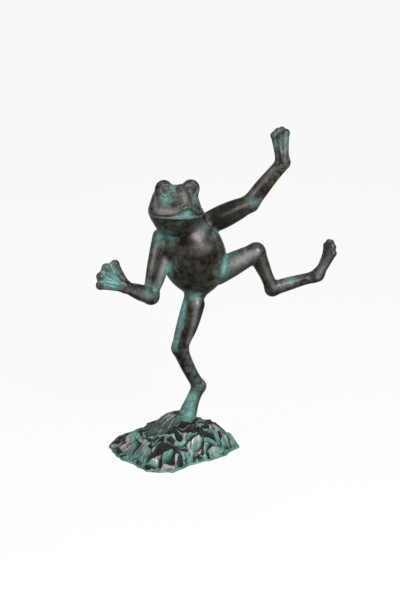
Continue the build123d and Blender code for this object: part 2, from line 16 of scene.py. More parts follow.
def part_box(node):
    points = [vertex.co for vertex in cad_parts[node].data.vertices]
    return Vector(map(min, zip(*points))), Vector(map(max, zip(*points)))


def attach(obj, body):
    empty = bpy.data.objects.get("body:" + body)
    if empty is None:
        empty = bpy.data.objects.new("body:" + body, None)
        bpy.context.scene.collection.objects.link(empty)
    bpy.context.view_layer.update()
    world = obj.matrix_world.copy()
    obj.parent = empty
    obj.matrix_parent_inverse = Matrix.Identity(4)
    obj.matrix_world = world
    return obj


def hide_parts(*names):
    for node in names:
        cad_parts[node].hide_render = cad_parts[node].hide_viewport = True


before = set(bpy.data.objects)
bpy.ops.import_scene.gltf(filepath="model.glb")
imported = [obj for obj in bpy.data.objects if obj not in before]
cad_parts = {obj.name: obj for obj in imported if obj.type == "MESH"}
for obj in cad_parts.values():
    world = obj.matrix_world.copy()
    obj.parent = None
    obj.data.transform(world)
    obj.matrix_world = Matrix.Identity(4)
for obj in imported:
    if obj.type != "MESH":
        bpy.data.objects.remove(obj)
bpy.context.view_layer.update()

print("nodes in the frame:", len(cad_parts))

# %% [markdown]
# ## The skeleton
# Every joint of the cast figure is pinned by a steel dowel, so the middle of each dowel is the
# middle of a joint. We could type the joints' places again, but reading them from the dowels
# keeps the skin on the solids if the pose changes. The sculpting below works in millimetres.

# %% Joints from the dowels
MM = 0.001
PLACES = ("shoulder", "elbow", "wrist", "hip", "knee", "heel", "ankle")


def middle(node):
    """The middle of a solid's box, in millimetres."""
    low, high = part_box(node)
    return np.array((low + high) / 2) / MM


def bone(a, b):
    """The way from one joint to another."""
    return JOINT[b] - JOINT[a]


JOINT = {f"{s}_{place}": middle(f"{s}_{place}_dowel")
         for s in ("right", "left") for place in PLACES}
print({name: np.round(place, 1).tolist() for name, place in JOINT.items()})

# %% [markdown]
# ## Clay in numbers
# A cast figure has no straight edges: limbs swell, taper and melt into each other. Subdivision
# modelling could do that, but the fillets at hips and shoulders are slow to place by hand. Here
# each form is a distance field, a function that says how far a point is from the form's skin
# (negative inside). Fields melt together with a smooth minimum, like clay pressed into clay.

# %% Melting and pressing
def melt(a, b, width):
    """Smooth minimum of two fields: one form melted into the other."""
    h = np.clip(0.5 + 0.5 * (b - a) / width, 0, 1)
    return b + (a - b) * h - width * h * (1 - h)


def press(a, b, width):
    """Smooth maximum of two fields: only what both forms share."""
    return -melt(-a, -b, width)


def bump(distance, width):
    """A soft bell, 1 in the middle and near 0 at twice the width."""
    return np.exp(-(distance / width) ** 2)


print("two skins 1 mm away, melted over 4 mm, come to", melt(1.0, 1.0, 4.0), "mm")

# %% [markdown]
# A limb is a tube round a bone. Its radius follows a smooth curve through a few values, so one
# short row of numbers gives the swell of a muscle and the taper towards a wrist. A bow pushes
# the middle of the tube to one side.

# %% Limbs
def along(profile, t):
    """Smooth value at t (0 to 1) through evenly spaced values."""
    profile = np.asarray(profile, np.float32)
    spot = np.clip(t, 0, 1) * (len(profile) - 1)
    i = np.minimum(spot.astype(int), len(profile) - 2)
    f = spot - i
    before, after = profile[np.maximum(i - 1, 0)], profile[np.minimum(i + 2, len(profile) - 1)]
    a, b = profile[i], profile[i + 1]
    rise, run = (b - before) / 2, (after - a) / 2
    leaving = ((2 * f - 3) * f * f + 1) * a + ((f - 2) * f + 1) * f * rise
    return leaving + (3 - 2 * f) * f * f * b + (f - 1) * f * f * run


def limb(start, end, radii, bow=(0, 0, 0)):
    """A round limb whose radius follows a profile, and whose middle may bow to one side."""
    start, end, bow = (np.asarray(v, np.float32) for v in (start, end, bow))
    axis = end - start

    def field(p):
        t = np.clip((p - start) @ axis / (axis @ axis), 0, 1)
        core = start + t[:, None] * axis + (4 * t * (1 - t))[:, None] * bow
        return np.linalg.norm(p - core, axis=1) - along(radii, t)
    return field


def lobes(width, *forms):
    """Several forms melted into one field, with a groove between them."""
    def field(p):
        f = forms[0](p)
        for form in forms[1:]:
            f = melt(f, form(p), width)
        return f
    return field


print("a profile of 2, 4, 2 a quarter of the way along:", along((2, 4, 2), np.array([0.25])))

# %% [markdown]
# Bellies, palms and skulls are rounder. They are ellipsoids that are measured in a frame of
# their own, so that a form can be tilted and its numbers stay the same.

# %% Rounds
def ball(centre, radius):
    """A plain sphere."""
    centre = np.asarray(centre, np.float32)
    return lambda p: np.linalg.norm(p - centre, axis=1) - radius


def local(p, centre, axes):
    """Points in a form's own frame, whose axes are the rows of a matrix."""
    return (p - np.asarray(centre, np.float32)) @ np.asarray(axes, np.float32).T


def ellipsoid(q, centre, radii):
    """Distance from an ellipsoid, for points already in its own frame."""
    r = np.asarray(radii, np.float32)
    s = (q - np.asarray(centre, np.float32)) / r
    k = np.linalg.norm(s, axis=1)
    return k * (k - 1) / np.maximum(np.linalg.norm(s / r, axis=1), 1e-6)


print("5 mm from the middle of a ball of 3 mm:", ball((0, 0, 0), 3.0)(np.array([(5.0, 0, 0)])))

# %% [markdown]
# ## Torso
# The torso is an egg with a full belly that leans to the frog's right. It could be a scaled
# sphere, but the lower end is more pointed than the upper one, so the field bends its own
# exponent: 2 is an ellipse, less than 2 is leaner. A short stump of the standing thigh melts
# into it as the pelvis.

# %% Torso field
def unit(v):
    """A vector's direction, with a length of 1."""
    v = np.asarray(v, float)
    return v / np.linalg.norm(v)


def heading(turn, rise):
    """A direction, as a turn about +Z from +X and a rise above the floor, in degrees."""
    flat = cos(radians(rise))
    return np.array((flat * cos(radians(turn)), flat * sin(radians(turn)), sin(radians(rise))))


TORSO_UP = heading(171.6, 73.0)
NECK_ABOVE_CHEST, BELLY_BELOW_CHEST = 7.9, 41.0
BELLY_WIDE, BELLY_DEEP, BELLY_DOWN, BELLY_UP = 46.5, 40.0, 57.0, 70.0
LEAN_POWER = 1.9
PELVIS_TOP, PELVIS_FOOT, PELVIS_RADII, PELVIS_MELT = 16, 4, (17.0, 15.0), 7.0
chest = (JOINT["left_shoulder"] + JOINT["right_shoulder"]) / 2
side = bone("right_shoulder", "left_shoulder")
TORSO_SIDE = unit(side - (side @ TORSO_UP) * TORSO_UP)
TORSO_AXES = np.array([TORSO_SIDE, np.cross(TORSO_UP, TORSO_SIDE), TORSO_UP])
neck = chest + TORSO_UP * NECK_ABOVE_CHEST
belly = chest - TORSO_UP * BELLY_BELOW_CHEST
thigh_way = unit(bone("right_hip", "right_knee"))
pelvis = limb(JOINT["right_hip"] - thigh_way * PELVIS_TOP,
              JOINT["right_hip"] - thigh_way * PELVIS_FOOT, PELVIS_RADII)


def torso(p):
    """The egg of the body, with the pelvis melted in."""
    q = local(p, belly, TORSO_AXES)
    below = q[:, 2] < 0
    power = np.where(below, LEAN_POWER, 2.0).astype(np.float32)
    tall = np.where(below, BELLY_DOWN, BELLY_UP)
    round_out = np.hypot(q[:, 0], q[:, 1] * BELLY_WIDE / BELLY_DEEP) / BELLY_WIDE + 1e-5
    up = np.abs(q[:, 2]) / tall + 1e-5
    k = (round_out ** power + up ** power) ** (1 / power)
    slope = np.hypot((round_out / k) ** (power - 1) / BELLY_WIDE, (up / k) ** (power - 1) / tall)
    return melt((k - 1) / slope, pelvis(p), PELVIS_MELT)


print("torso: belly at", np.round(belly, 1).tolist())

# %% [markdown]
# ## Head
# The head is a wide jaw, a lower skull and a blunt snout, turned and nodded on the neck. It
# could start as a box with loop cuts. Here its outline is given at even steps from the throat
# to the crown, as half widths and as depths before and behind, which is easy to correct.

# %% Skull field
HEAD_TURN, HEAD_NOD, HEAD_TILT = radians(24.0), radians(-6.0), radians(4.0)
HEAD_WAY, HEAD_ABOVE_NECK, HEAD_SHIFT = heading(-140.8, 57.4), 36.5, np.array((2.9, 0, 1.0))
THROAT, CROWN = -40.0, 34.0
HALF_WIDTHS = (22.0, 28.5, 35.0, 38.5, 35.6, 32.4, 31.0, 27.0)
FACES = (22.0, 26.0, 34.0, 38.0, 37.5, 32.0, 25.0, 16.0)
NAPES = (24.0, 27.5, 31.0, 32.5, 33.0, 31.0, 26.0, 17.0)
CROWN_TOP, CROWN_BACK, CROWN_CURVE = 28.5, 4, 0.006
CROWN_PRESS, THROAT_PRESS, SKULL_DEEPEST = 12.0, 8.0, -30.0


def spin(angle, a, b):
    """Rotation matrix that turns axis a towards axis b."""
    m = np.eye(3)
    m[a, a], m[b, b], m[b, a], m[a, b] = cos(angle), cos(angle), sin(angle), -sin(angle)
    return m


HEAD_AXES = (spin(HEAD_TURN, 0, 1) @ spin(HEAD_NOD, 1, 2) @ spin(HEAD_TILT, 2, 0)).T
head_middle = neck + HEAD_WAY * HEAD_ABOVE_NECK + HEAD_SHIFT


def skull(q):
    """The bare head: an outline that changes from throat to crown, under a low crown."""
    t = (q[:, 2] - THROAT) / (CROWN - THROAT)
    wide = along(HALF_WIDTHS, t)
    deep = np.where(q[:, 1] < 0, along(FACES, t), along(NAPES, t))
    k = np.hypot(q[:, 0] / wide, q[:, 1] / deep) + 1e-5
    f = (k - 1) * k / (np.hypot(q[:, 0] / wide ** 2, q[:, 1] / deep ** 2) + 1e-5)
    f = np.maximum(f, SKULL_DEEPEST)
    crown = q[:, 2] - CROWN_TOP + CROWN_CURVE * (q[:, 0] ** 2 + (q[:, 1] + CROWN_BACK) ** 2)
    return press(press(f, crown, CROWN_PRESS), THROAT - q[:, 2], THROAT_PRESS)


print("head: middle at", np.round(head_middle, 1).tolist())

# %% [markdown]
# The two eyes stand up like knobs: a ball in a groove, with a lid round it and a crease outside.
# Rings as fine as these would be lost among clay forms, so they are pressed into the mound:
# bell-shaped pushes at a distance from the point where the eye looks out.

# %% Eyes
EYE_PLACE, EYE_MOUND, EYE_MELT = (20.5, -8.0, 23.8), 12.5, 6.0
EYE_BALL, BALL_RISE = 5.7, 1.5
LID, LID_RISE, LID_WIDTH = 7.4, 1.3, 1.4
GROOVE_INSIDE, GROOVE_WIDTH = 1.8, 0.9
CREASE_OUTSIDE, CREASE_DEPTH, CREASE_WIDTH = 2.8, 0.7, 1.3


def eye(f, q, s):
    """An eye melted into the head on one side: s is -1 for the right one and 1 for the left one."""
    to_eye = q - np.array(EYE_PLACE) * (s, 1, 1)
    reach = np.linalg.norm(to_eye, axis=1) + 1e-4
    f = melt(f, reach - EYE_MOUND, EYE_MELT)
    look = unit((s * 0.04 - 0.14, -0.98, -0.02))
    off = np.arccos(np.clip(to_eye @ look / reach, -1, 1)) * EYE_MOUND
    near = np.clip(1.6 - np.abs(reach - EYE_MOUND) / 5, 0, 1)
    rings = LID_RISE * bump(off - LID, LID_WIDTH)
    rings = rings - LID_RISE * bump(off - LID + GROOVE_INSIDE, GROOVE_WIDTH)
    rings = rings - CREASE_DEPTH * bump(off - LID - CREASE_OUTSIDE, CREASE_WIDTH)
    return f - near * (rings + BALL_RISE * np.clip(1 - (off / EYE_BALL) ** 2, 0, 1) ** 0.5)


print("eyes: lids of", 2 * LID, "mm across on mounds of", 2 * EYE_MOUND, "mm")

# %% [markdown]
# The mouth is a long smile that runs round the snout, with raised lips. The upper lip lifts in
# the middle and leaves a slot. It could be cut with a boolean, but as a curve in the field it
# follows the snout by itself: the swing round the head says where along the smile a point is.

# %% Face
MOUTH_REACH, MOUTH_LOW, CORNER_LIFT = radians(90.0), -13.6, 5.0
SLOT, LIP_RISE, LIP_MIDDLE, LIP_SPREAD = 0.9, 11.0, 0.07, 0.38
UPPER_LIP, LOWER_LIP = (2.1, 3.0, 2.8), (1.3, 2.2, 1.9)
SLOT_DEPTH, LIFT_DEPTH = 2.4, 2.2
SNOUT = (0, -20, 0), (21.0, 18.0, 12.0)
NECK_OVAL = (0, 0, 4), (32.5, 29.2, 11.0)
NOSTRIL, NOSTRIL_DEPTH, NOSTRIL_WIDTH = (4.5, -40.5, 5.0), 1.4, 2.0
nose_bridge = limb((0, -21, 23), (0, -33, 3), (8.5, 8.0))


def mouth(f, q):
    """The smile pressed into the head. A lip is a rise, a distance from the slot and a width."""
    swing = np.arctan2(q[:, 0], -q[:, 1] + 2)
    ends = np.clip((MOUTH_REACH - np.abs(swing)) * 5, 0, 1)
    lift = bump(swing - LIP_MIDDLE, LIP_SPREAD)
    lower = MOUTH_LOW + CORNER_LIFT * np.clip((np.abs(swing) - 0.9) / 0.6, 0, 1) ** 2
    upper = lower + SLOT + LIP_RISE * lift
    rise, above, width = UPPER_LIP
    lips = rise * bump(q[:, 2] - upper - above, width)
    rise, under, width = LOWER_LIP
    lips = lips + rise * bump(q[:, 2] - lower + under, width)
    f = f - ends * lips
    gap = np.maximum(lower - q[:, 2], q[:, 2] - upper)
    hollow = np.maximum(gap, -f - (SLOT_DEPTH + LIFT_DEPTH * lift) * ends)
    return press(f, -hollow, 1.2)


def head(p):
    """The whole head: skull, snout, neck, bridge of the nose, eyes, nostrils and mouth."""
    q = local(p, head_middle, HEAD_AXES)
    f = melt(skull(q), ellipsoid(q, *SNOUT), 7.0)
    f = melt(f, ellipsoid(local(p, neck, TORSO_AXES), *NECK_OVAL), 6.0)
    f = melt(f, nose_bridge(q), 3.0)
    for s in (-1, 1):
        f = eye(f, q, s)
        to_nostril = np.linalg.norm(q - np.array(NOSTRIL) * (s, 1, 1), axis=1)
        f = f + NOSTRIL_DEPTH * bump(to_nostril, NOSTRIL_WIDTH)
    return mouth(f, q)


head_inside = -head(head_middle[None].astype(np.float32))[0].round(1)
print("the middle of the head lies", head_inside, "mm inside")

# %% [markdown]
# ## Arms and legs
# Each limb is a tube that swells at the muscle and thins at the wrist or ankle. The standing
# thigh and the bent upper arm show two muscles with a groove between, so each of those is a
# pair of lobes. A modeller would pull such a groove with a brush; two tubes give it exactly.

# %% Limb fields
LIFTED_ROOT, ANKLE_DROP = 14.0, 15.0


def beside(a, b, share, right, back):
    """A point a share of the way between two joints, pushed to one side."""
    return JOINT[a] + bone(a, b) * share + np.array((right, back, 0.0))


def between(a, b, radii, bow=(0, 0, 0)):
    """A limb from one joint to the next."""
    return limb(JOINT[a], JOINT[b], radii, bow)


thigh_flank = between("right_hip", "right_knee", (14.0, 12.8, 12.2, 12.0, 11.8), (-2.2, 0, 0))
thigh_front = limb(beside("right_hip", "right_knee", 0.15, 4.3, -5.0),
                   beside("right_hip", "right_knee", 0.88, 5.4, -4.0), (13.4, 12.8, 10.8, 6.8))
arm_outer = between("right_shoulder", "right_elbow", (12.2, 12.2, 11.8, 10.6), (-0.8, 0, 0))
arm_inner = limb(beside("right_shoulder", "right_elbow", 0.34, 11.0, -7.0),
                 beside("right_shoulder", "right_elbow", 0.88, 5.0, -6.0),
                 (7.2, 7.8, 7.2, 5.6), (0.8, 0, 0))
lifted_root = JOINT["left_hip"] + unit(bone("left_knee", "left_hip")) * LIFTED_ROOT
rock_ankle = JOINT["right_ankle"] + unit(bone("right_heel", "right_ankle")) * ANKLE_DROP
FIELDS = {
    "torso": torso,
    "head": head,
    "right_upper_arm": lobes(1.6, arm_outer, arm_inner),
    "right_forearm": between("right_elbow", "right_wrist", (10.6, 11.8, 10.2, 7.8)),
    "left_upper_arm": between("left_shoulder", "left_elbow", (16.4, 17.0, 15.4, 12.2)),
    "left_forearm": between("left_elbow", "left_wrist", (12.2, 11.8, 10.6, 10.0), (-1.0, 0, 0.6)),
    "right_thigh": lobes(1.8, thigh_flank, thigh_front),
    "right_shin": between("right_knee", "right_heel", (11.8, 10.6, 10.0, 9.5, 9.8), (-2.2, 0, 0)),
    "right_tarsus": limb(JOINT["right_heel"], rock_ankle, (9.8, 9.8, 10.4, 12.2, 13.6), (-1.4, 0, 0)),
    "left_thigh": limb(lifted_root, JOINT["left_knee"], (18.4, 17.6, 15.4, 13.0)),
    "left_shin": between("left_knee", "left_heel", (13.0, 11.4, 9.4, 10.2)),
    "left_tarsus": between("left_heel", "left_ankle", (10.2, 9.8, 8.4, 7.6), (0, 0, 0.8)),
}
print("fields so far:", len(FIELDS))

# %% [markdown]
# ## Hands and feet
# A frog's hand is a fan of knobbed fingers with skin stretched between them. Each finger is a
# thin limb with a ball at its tip, and the web is a flat slab whose edge sags between the tips.
# Extruding digits from a palm would work too, but one fan with a few numbers makes both hands
# and the lifted foot.

# %% Web between the digits
WEB_HALF, WEB_SAG = 1.7, 0.03


def fan_axes(way, palm):
    """Rows: along the digits, across them, out of the palm."""
    across = unit(np.cross(palm, way))
    return np.array([way, across, np.cross(way, across)])


def web_skin(q, angles, length, shares, back):
    """The slab between digits that spread from a point behind the palm."""
    swing = np.arctan2(q[:, 1], q[:, 0] + back)
    reach = np.hypot(q[:, 0] + back, q[:, 1])
    edge = back + np.interp(swing, angles, [length * s for s in shares])
    step = np.interp(swing, angles, np.arange(len(angles)))
    sag = WEB_SAG * length * np.sin(pi * (step % 1)) ** 2
    beyond = np.maximum(angles[0] - swing, swing - angles[-1]) * reach
    skin = np.maximum(np.maximum(np.abs(q[:, 2]) - WEB_HALF, reach - edge + sag), beyond)
    return np.maximum(skin, -q[:, 0])


print("webs are", 2 * WEB_HALF, "mm thick")

# %% [markdown]
# The digits start side by side at the palm and spread by an angle each. Their lengths are
# shares of the fan's length. Hands also have thin veins between the fingers, which stand out
# from the web, and the foot's fan is curled along its length.

# %% Webbed fans
KNOB, KNOB_MELT, DIGIT_MELT, VEIN_MELT = 1.12, 1.5, 2.0, 1.2
VEIN_RADII, VEIN_START, VEIN_END = (2.2, 1.6, 1.0), 8, 0.46


def webbed_fan(centre, axes, length, spread, shares, root, tip, palm, wide, curl=0.0, vein=0.0):
    """Digits that fan out from a palm, and the web between them."""
    angles = np.radians(spread)
    starts = [np.array((0, wide * (2 * i / (len(angles) - 1) - 1), 0)) for i in range(len(angles))]
    ends = [start + np.array((cos(angle), sin(angle), 0)) * (length * share - tip)
            for start, angle, share in zip(starts, angles, shares)]
    digits = [limb(a, b, (root, root * 0.9, tip * 0.85, tip)) for a, b in zip(starts, ends)]
    knobs = [ball(end, tip * KNOB) for end in ends]
    veins = [limb((a + b) * 0.5 + (VEIN_START, 0, vein), (c + d) * VEIN_END + (0, 0, vein), VEIN_RADII)
             for a, b, c, d in zip(starts, starts[1:], ends, ends[1:])]
    back = wide / np.tan(angles[-1])

    def field(p):
        q = local(p, centre, axes).copy()
        q[:, 2] += curl * q[:, 0] * (length - q[:, 0])
        f = ellipsoid(q, (palm[0] * 0.5, 0, 0), palm)
        for digit, knob in zip(digits, knobs):
            f = melt(f, melt(digit(q), knob(q), KNOB_MELT), DIGIT_MELT)
        f = melt(f, web_skin(q, angles, length, shares, back), DIGIT_MELT)
        for rib in veins if vein else ():
            f = melt(f, rib(q), VEIN_MELT)
        return f
    return field


print("a knob is", KNOB, "times as thick as the tip of its finger")

# %% [markdown]
# The low hand spreads its fingers, the raised hand holds them nearly side by side, and the lifted
# foot is the longest fan. Each starts at its wrist or ankle and points on its own way.

# %% Hands and lifted foot
right_hand_way = heading(-163.5, 38.0)
left_hand_way = heading(-120.0, 84.5)
left_foot_way = heading(5.9, 68.4)
FIELDS["right_hand"] = webbed_fan(
    JOINT["right_wrist"], fan_axes(right_hand_way, heading(-80.0, 20.0)), length=45.0,
    spread=(-25, -8.5, 9.5, 24), shares=(0.92, 1.04, 1.04, 0.96), root=4.8, tip=5.4,
    palm=(11.0, 8.5, 7.0), wide=3.0, vein=3.6)
FIELDS["left_hand"] = webbed_fan(
    JOINT["left_wrist"] + (-1.0, 0, 0), fan_axes(heading(-150.0, 83.5), heading(-72.0, 0.0)),
    length=52.0, spread=(-5, -1.7, 1.7, 5), shares=(0.92, 1.0, 0.98, 0.90), root=4.4, tip=4.8,
    palm=(15.0, 9.5, 8.5), wide=5.4, vein=3.4)
FIELDS["left_foot"] = webbed_fan(
    JOINT["left_ankle"] + (-1.6, 0, 0.6), fan_axes(left_foot_way, heading(16.0, -20.0)),
    length=56.0, spread=(-16, -8, 0, 8, 16), shares=(0.88, 0.97, 1.0, 0.96, 0.86), root=5.0, tip=4.6,
    palm=(18.0, 8.5, 7.6), wide=3.0, curl=-0.005)
print("fields with the fans:", len(FIELDS))

# %% [markdown]
# The standing foot lies on the rock, long and flat, with rays like the ribs of a leaf. Its sole
# is cut by the rock's sloping seat, a little below the rock's skin so that no gap shows. The
# rays could be limbs too, but so many thin ones melt away, so they are pushed out of a web.

# %% Standing foot
SEAT_SLOPE, TOE_TURN = 18.5, 201.0
toe_way = heading(TOE_TURN, -SEAT_SLOPE)
across_toes = heading(TOE_TURN + 90, 0)
SEAT_AXES = np.array([toe_way, across_toes, np.cross(toe_way, across_toes)])
# Each ray's angle, and its share of the foot's length
TOES = ((-20, 0.86), (-12, 0.95), (-4, 1.0), (4, 1.0), (12, 0.96), (20, 0.90), (27, 0.80))
FOOT_LENGTH, FAN_BACK, FOOT_SINK = 68.0, 12, 4.0
INSTEP, HEEL_MOUND = ((22, 0, 0), (32.0, 17.0, 16.0)), ((5, 3, 0), (17.0, 16.0, 6.0))
WEB_TOP, WEB_FALL, WEB_SIDE, RAY_NOTCH = 4.6, 0.02, 2.5, 2.0
RAY_SHARP, RAY_GROOVE, RAY_RISE, RAY_START, RAY_FADE = 5, 0.8, 2.6, 22, 14


def right_foot(p):
    """Instep, heel and a web with rays."""
    q = local(p, rock_ankle, SEAT_AXES)
    f = melt(ellipsoid(q, *INSTEP), ellipsoid(q, *HEEL_MOUND), 4.0)
    swing = np.arctan2(q[:, 1], q[:, 0] + FAN_BACK)
    reach = np.hypot(q[:, 0] + FAN_BACK, q[:, 1])
    angles = np.radians([angle for angle, share in TOES])
    edge = np.interp(swing, angles, [FAN_BACK + FOOT_LENGTH * share for angle, share in TOES])
    step = np.interp(swing, angles, np.arange(len(angles)))
    ray = np.abs(np.cos(pi * step)) ** RAY_SHARP
    beyond = np.maximum(angles[0] - swing, swing - angles[-1]) * reach - WEB_SIDE
    slab = q[:, 2] - WEB_TOP + WEB_FALL * reach
    web = np.maximum(np.maximum(slab, reach - edge + RAY_NOTCH * (1 - ray)), beyond)
    f = melt(f, web, 5.0)
    return f + (RAY_GROOVE - RAY_RISE * ray) * np.clip((reach - RAY_START) / RAY_FADE, 0, 1)


FIELDS["right_foot"] = right_foot
print("fields in all:", len(FIELDS))

# %% [markdown]
# ## Where one casting ends
# Neighbours melt into each other, so every piece is sculpted together with the pieces it meets
# and then parted from them. A boolean cut would do it, but it leaves ragged faces on dense
# meshes. Along a limb the parting is the flat joint of the solids, halfway between the two
# bones. On the torso it is the crease where both forms are equally near.

# %% Partings
def flat_joint(place, normal):
    """A flat parting through a place: negative on the side that its normal leaves."""
    place, normal = place.astype(np.float32), normal.astype(np.float32)
    return lambda p: (p - place) @ normal


# Casting, its neighbour, the joint before, the joint between, and the way on from there
CHAINS = (
    ("right_upper_arm", "right_forearm", "right_shoulder", "right_elbow",
     bone("right_elbow", "right_wrist")),
    ("right_forearm", "right_hand", "right_elbow", "right_wrist", right_hand_way),
    ("left_upper_arm", "left_forearm", "left_shoulder", "left_elbow",
     bone("left_elbow", "left_wrist")),
    ("left_forearm", "left_hand", "left_elbow", "left_wrist", left_hand_way),
    ("right_thigh", "right_shin", "right_hip", "right_knee", bone("right_knee", "right_heel")),
    ("right_shin", "right_tarsus", "right_knee", "right_heel", bone("right_heel", "right_ankle")),
    ("right_tarsus", "right_foot", "right_heel", "right_ankle", bone("right_heel", "right_ankle")),
    ("left_thigh", "left_shin", "left_hip", "left_knee", bone("left_knee", "left_heel")),
    ("left_shin", "left_tarsus", "left_knee", "left_heel", bone("left_heel", "left_ankle")),
    ("left_tarsus", "left_foot", "left_heel", "left_ankle", left_foot_way),
)
PARTINGS = {}
for near, far, before, joint, way_on in CHAINS:
    PARTINGS[near, far] = flat_joint(JOINT[joint], unit(unit(bone(before, joint)) + unit(way_on)))
PARTINGS["torso", "head"] = flat_joint(neck, TORSO_UP)
for limb_name in ("right_upper_arm", "left_upper_arm", "right_thigh", "left_thigh"):
    PARTINGS["torso", limb_name] = lambda p, n=limb_name: (torso(p) - FIELDS[n](p)) / 2
print("partings:", len(PARTINGS))

# %% [markdown]
# How far two neighbours melt differs: the head flows into the chest, and the foot meets the
# tarsus in a crease. The foot is also cut by its seat, and the upper arms give way to the head.

# %% Sculpting
LIMB_MELT = 5.0
MELTS = {
    ("right_tarsus", "right_foot"): 1.5, ("left_tarsus", "left_foot"): 9.0,
    ("right_upper_arm", "right_forearm"): 8.0, ("torso", "head"): 12.0,
    ("torso", "right_upper_arm"): 5.0, ("torso", "left_upper_arm"): 1.6,
    ("torso", "right_thigh"): 3.0, ("torso", "left_thigh"): 1.6,
}


def sculpt(name):
    """The melted skin of a piece, and the field that parts it from its neighbours."""
    pairs = [pair for pair in PARTINGS if name in pair]

    def skin(p):
        f = FIELDS[name](p)
        for pair in pairs:
            other = pair[0] if pair[1] == name else pair[1]
            f = melt(f, FIELDS[other](p), MELTS.get(pair, LIMB_MELT))
        return f

    def parting(p):
        cuts = [PARTINGS[pair](p) * (1 if pair[0] == name else -1) for pair in pairs]
        if name == "right_foot":
            cuts.append(-local(p, rock_ankle, SEAT_AXES)[:, 2] - FOOT_SINK)
        if name.endswith("upper_arm"):
            cuts.append(-head(p))
        return np.max(cuts, axis=0)
    return skin, parting


print("neighbours with a melt of their own:", len(MELTS))

# %% [markdown]
# ## From field to mesh
# A surface net puts one point in each small cube that the skin passes through, and joins the
# points of neighbouring cubes into four-sided faces. Metaballs or a voxel remesh would also
# work, but with our own net each point can be slid exactly onto the skin, and onto the sharp
# line where skin and parting meet.

# %% Points of the net
STEP = 1.1
CORNERS = np.array([(i, j, k) for i in (0, 1) for j in (0, 1) for k in (0, 1)])
EDGES = [(a, b) for a in range(8) for b in range(a + 1, 8)
         if np.abs(CORNERS[a] - CORNERS[b]).sum() == 1]


def net_points(value, low):
    """A point in each cube that the skin passes through, and the grid of the cubes' numbers."""
    count, inside = np.array(value.shape), value < 0
    cells = [tuple(slice(o[i], count[i] - 1 + o[i]) for i in range(3)) for o in CORNERS]
    total = sum(inside[c].astype(np.int8) for c in cells)
    active = np.argwhere((total > 0) & (total < 8))
    number = np.full(count - 1, -1)
    number[tuple(active.T)] = np.arange(len(active))
    v = np.stack([value[tuple((active + o).T)] for o in CORNERS], 1)
    points, hits = np.zeros((len(active), 3)), np.zeros(len(active))
    for a, b in EDGES:
        cross = (v[:, a] < 0) != (v[:, b] < 0)
        t = v[cross, a] / (v[cross, a] - v[cross, b])
        points[cross] += CORNERS[a] + t[:, None] * (CORNERS[b] - CORNERS[a])
        hits[cross] += 1
    return low + STEP * (active + points / hits[:, None]), number


print("a cube has", len(CORNERS), "corners and", len(EDGES), "edges")

# %% [markdown]
# The faces come from the grid lines. Where a line passes through the skin, the points of the four
# cubes round it make one face, and the end of the line that lies inside tells which way it faces.

# %% Faces of the net
AT_ONCE = 200000


def net_faces(inside, number):
    """A four-sided face round each grid line that passes through the skin, facing outwards."""
    count, steps, faces = inside.shape, np.eye(3, dtype=int), []
    for a in range(3):
        near, far = [slice(None)] * 3, [slice(None)] * 3
        near[a], far[a] = slice(0, -1), slice(1, None)
        at = np.argwhere(inside[tuple(near)] != inside[tuple(far)])
        b, c = (a + 1) % 3, (a + 2) % 3
        clear_low = (at[:, b] > 0) & (at[:, c] > 0)
        at = at[clear_low & (at[:, b] < count[b] - 1) & (at[:, c] < count[c] - 1)]
        round_line = (0 * steps[b], steps[b], steps[b] + steps[c], steps[c])
        quad = np.stack([number[tuple((at - o).T)] for o in round_line], 1)
        outward = inside[tuple(at.T)]
        faces.append(np.where(outward[:, None], quad, quad[:, ::-1]))
    return np.concatenate(faces)


def surface_net(field, low, high):
    """Points and four-sided faces of the field's zero surface inside a box."""
    count = np.ceil((high - low) / STEP).astype(int) + 1
    lines = [low[i] + STEP * np.arange(count[i]) for i in range(3)]
    grid = np.stack(np.meshgrid(*lines, indexing="ij"), -1).reshape(-1, 3).astype(np.float32)
    value = np.concatenate([field(part) for part in np.array_split(grid, len(grid) // AT_ONCE + 1)])
    value = value.reshape(count)
    points, number = net_points(value, low)
    return points, net_faces(value < 0, number)


trial_points = surface_net(ball((0, 0, 0), 5.0), np.full(3, -8.0), np.full(3, 8.0))[0]
print("a ball of 5 mm takes", len(trial_points), "points")

# %% [markdown]
# A raw net is a little lumpy. A smooth modifier would even it out, but it also shrinks the form.
# Here relaxing evens out the faces, and sliding each point along the field's slope puts it back
# on the skin.

# %% Sliding and relaxing
SLOPE_LOOK, LEAST_SLOPE = 0.25, 0.05


def gradient(field, p):
    """The field's slope at each point."""
    steps = np.eye(3) * SLOPE_LOOK
    return np.stack([field(p + s) - field(p - s) for s in steps], 1) / (2 * SLOPE_LOOK)


def slide(field, p):
    """Points moved along the field's slope onto its zero surface."""
    p32 = p.astype(np.float32)
    g = gradient(field, p32)
    size = np.maximum((g * g).sum(1), LEAST_SLOPE)
    return p - np.clip(field(p32) / size, -STEP, STEP)[:, None] * g


def relax(points, faces):
    """Each point moved towards the mean of its neighbours, so that the faces even out."""
    total, count = np.zeros_like(points), np.zeros(len(points))
    for a in range(4):
        for b in (a - 1, (a + 1) % 4):
            np.add.at(total, faces[:, a], points[faces[:, b]])
            np.add.at(count, faces[:, a], 1)
    return 0.5 * points + 0.5 * total / np.maximum(count, 1)[:, None]


print("a point slides by about", STEP, "mm at most")

# %% [markdown]
# A casting is its melted skin, cut off at its partings. Points close to a parting slide onto both
# fields in turn, so that the edge of the joint comes out crisp.

# %% Casting a piece
MARGIN, EDGE_NEAR, EDGE_TURNS = 9.0, 0.8, 4


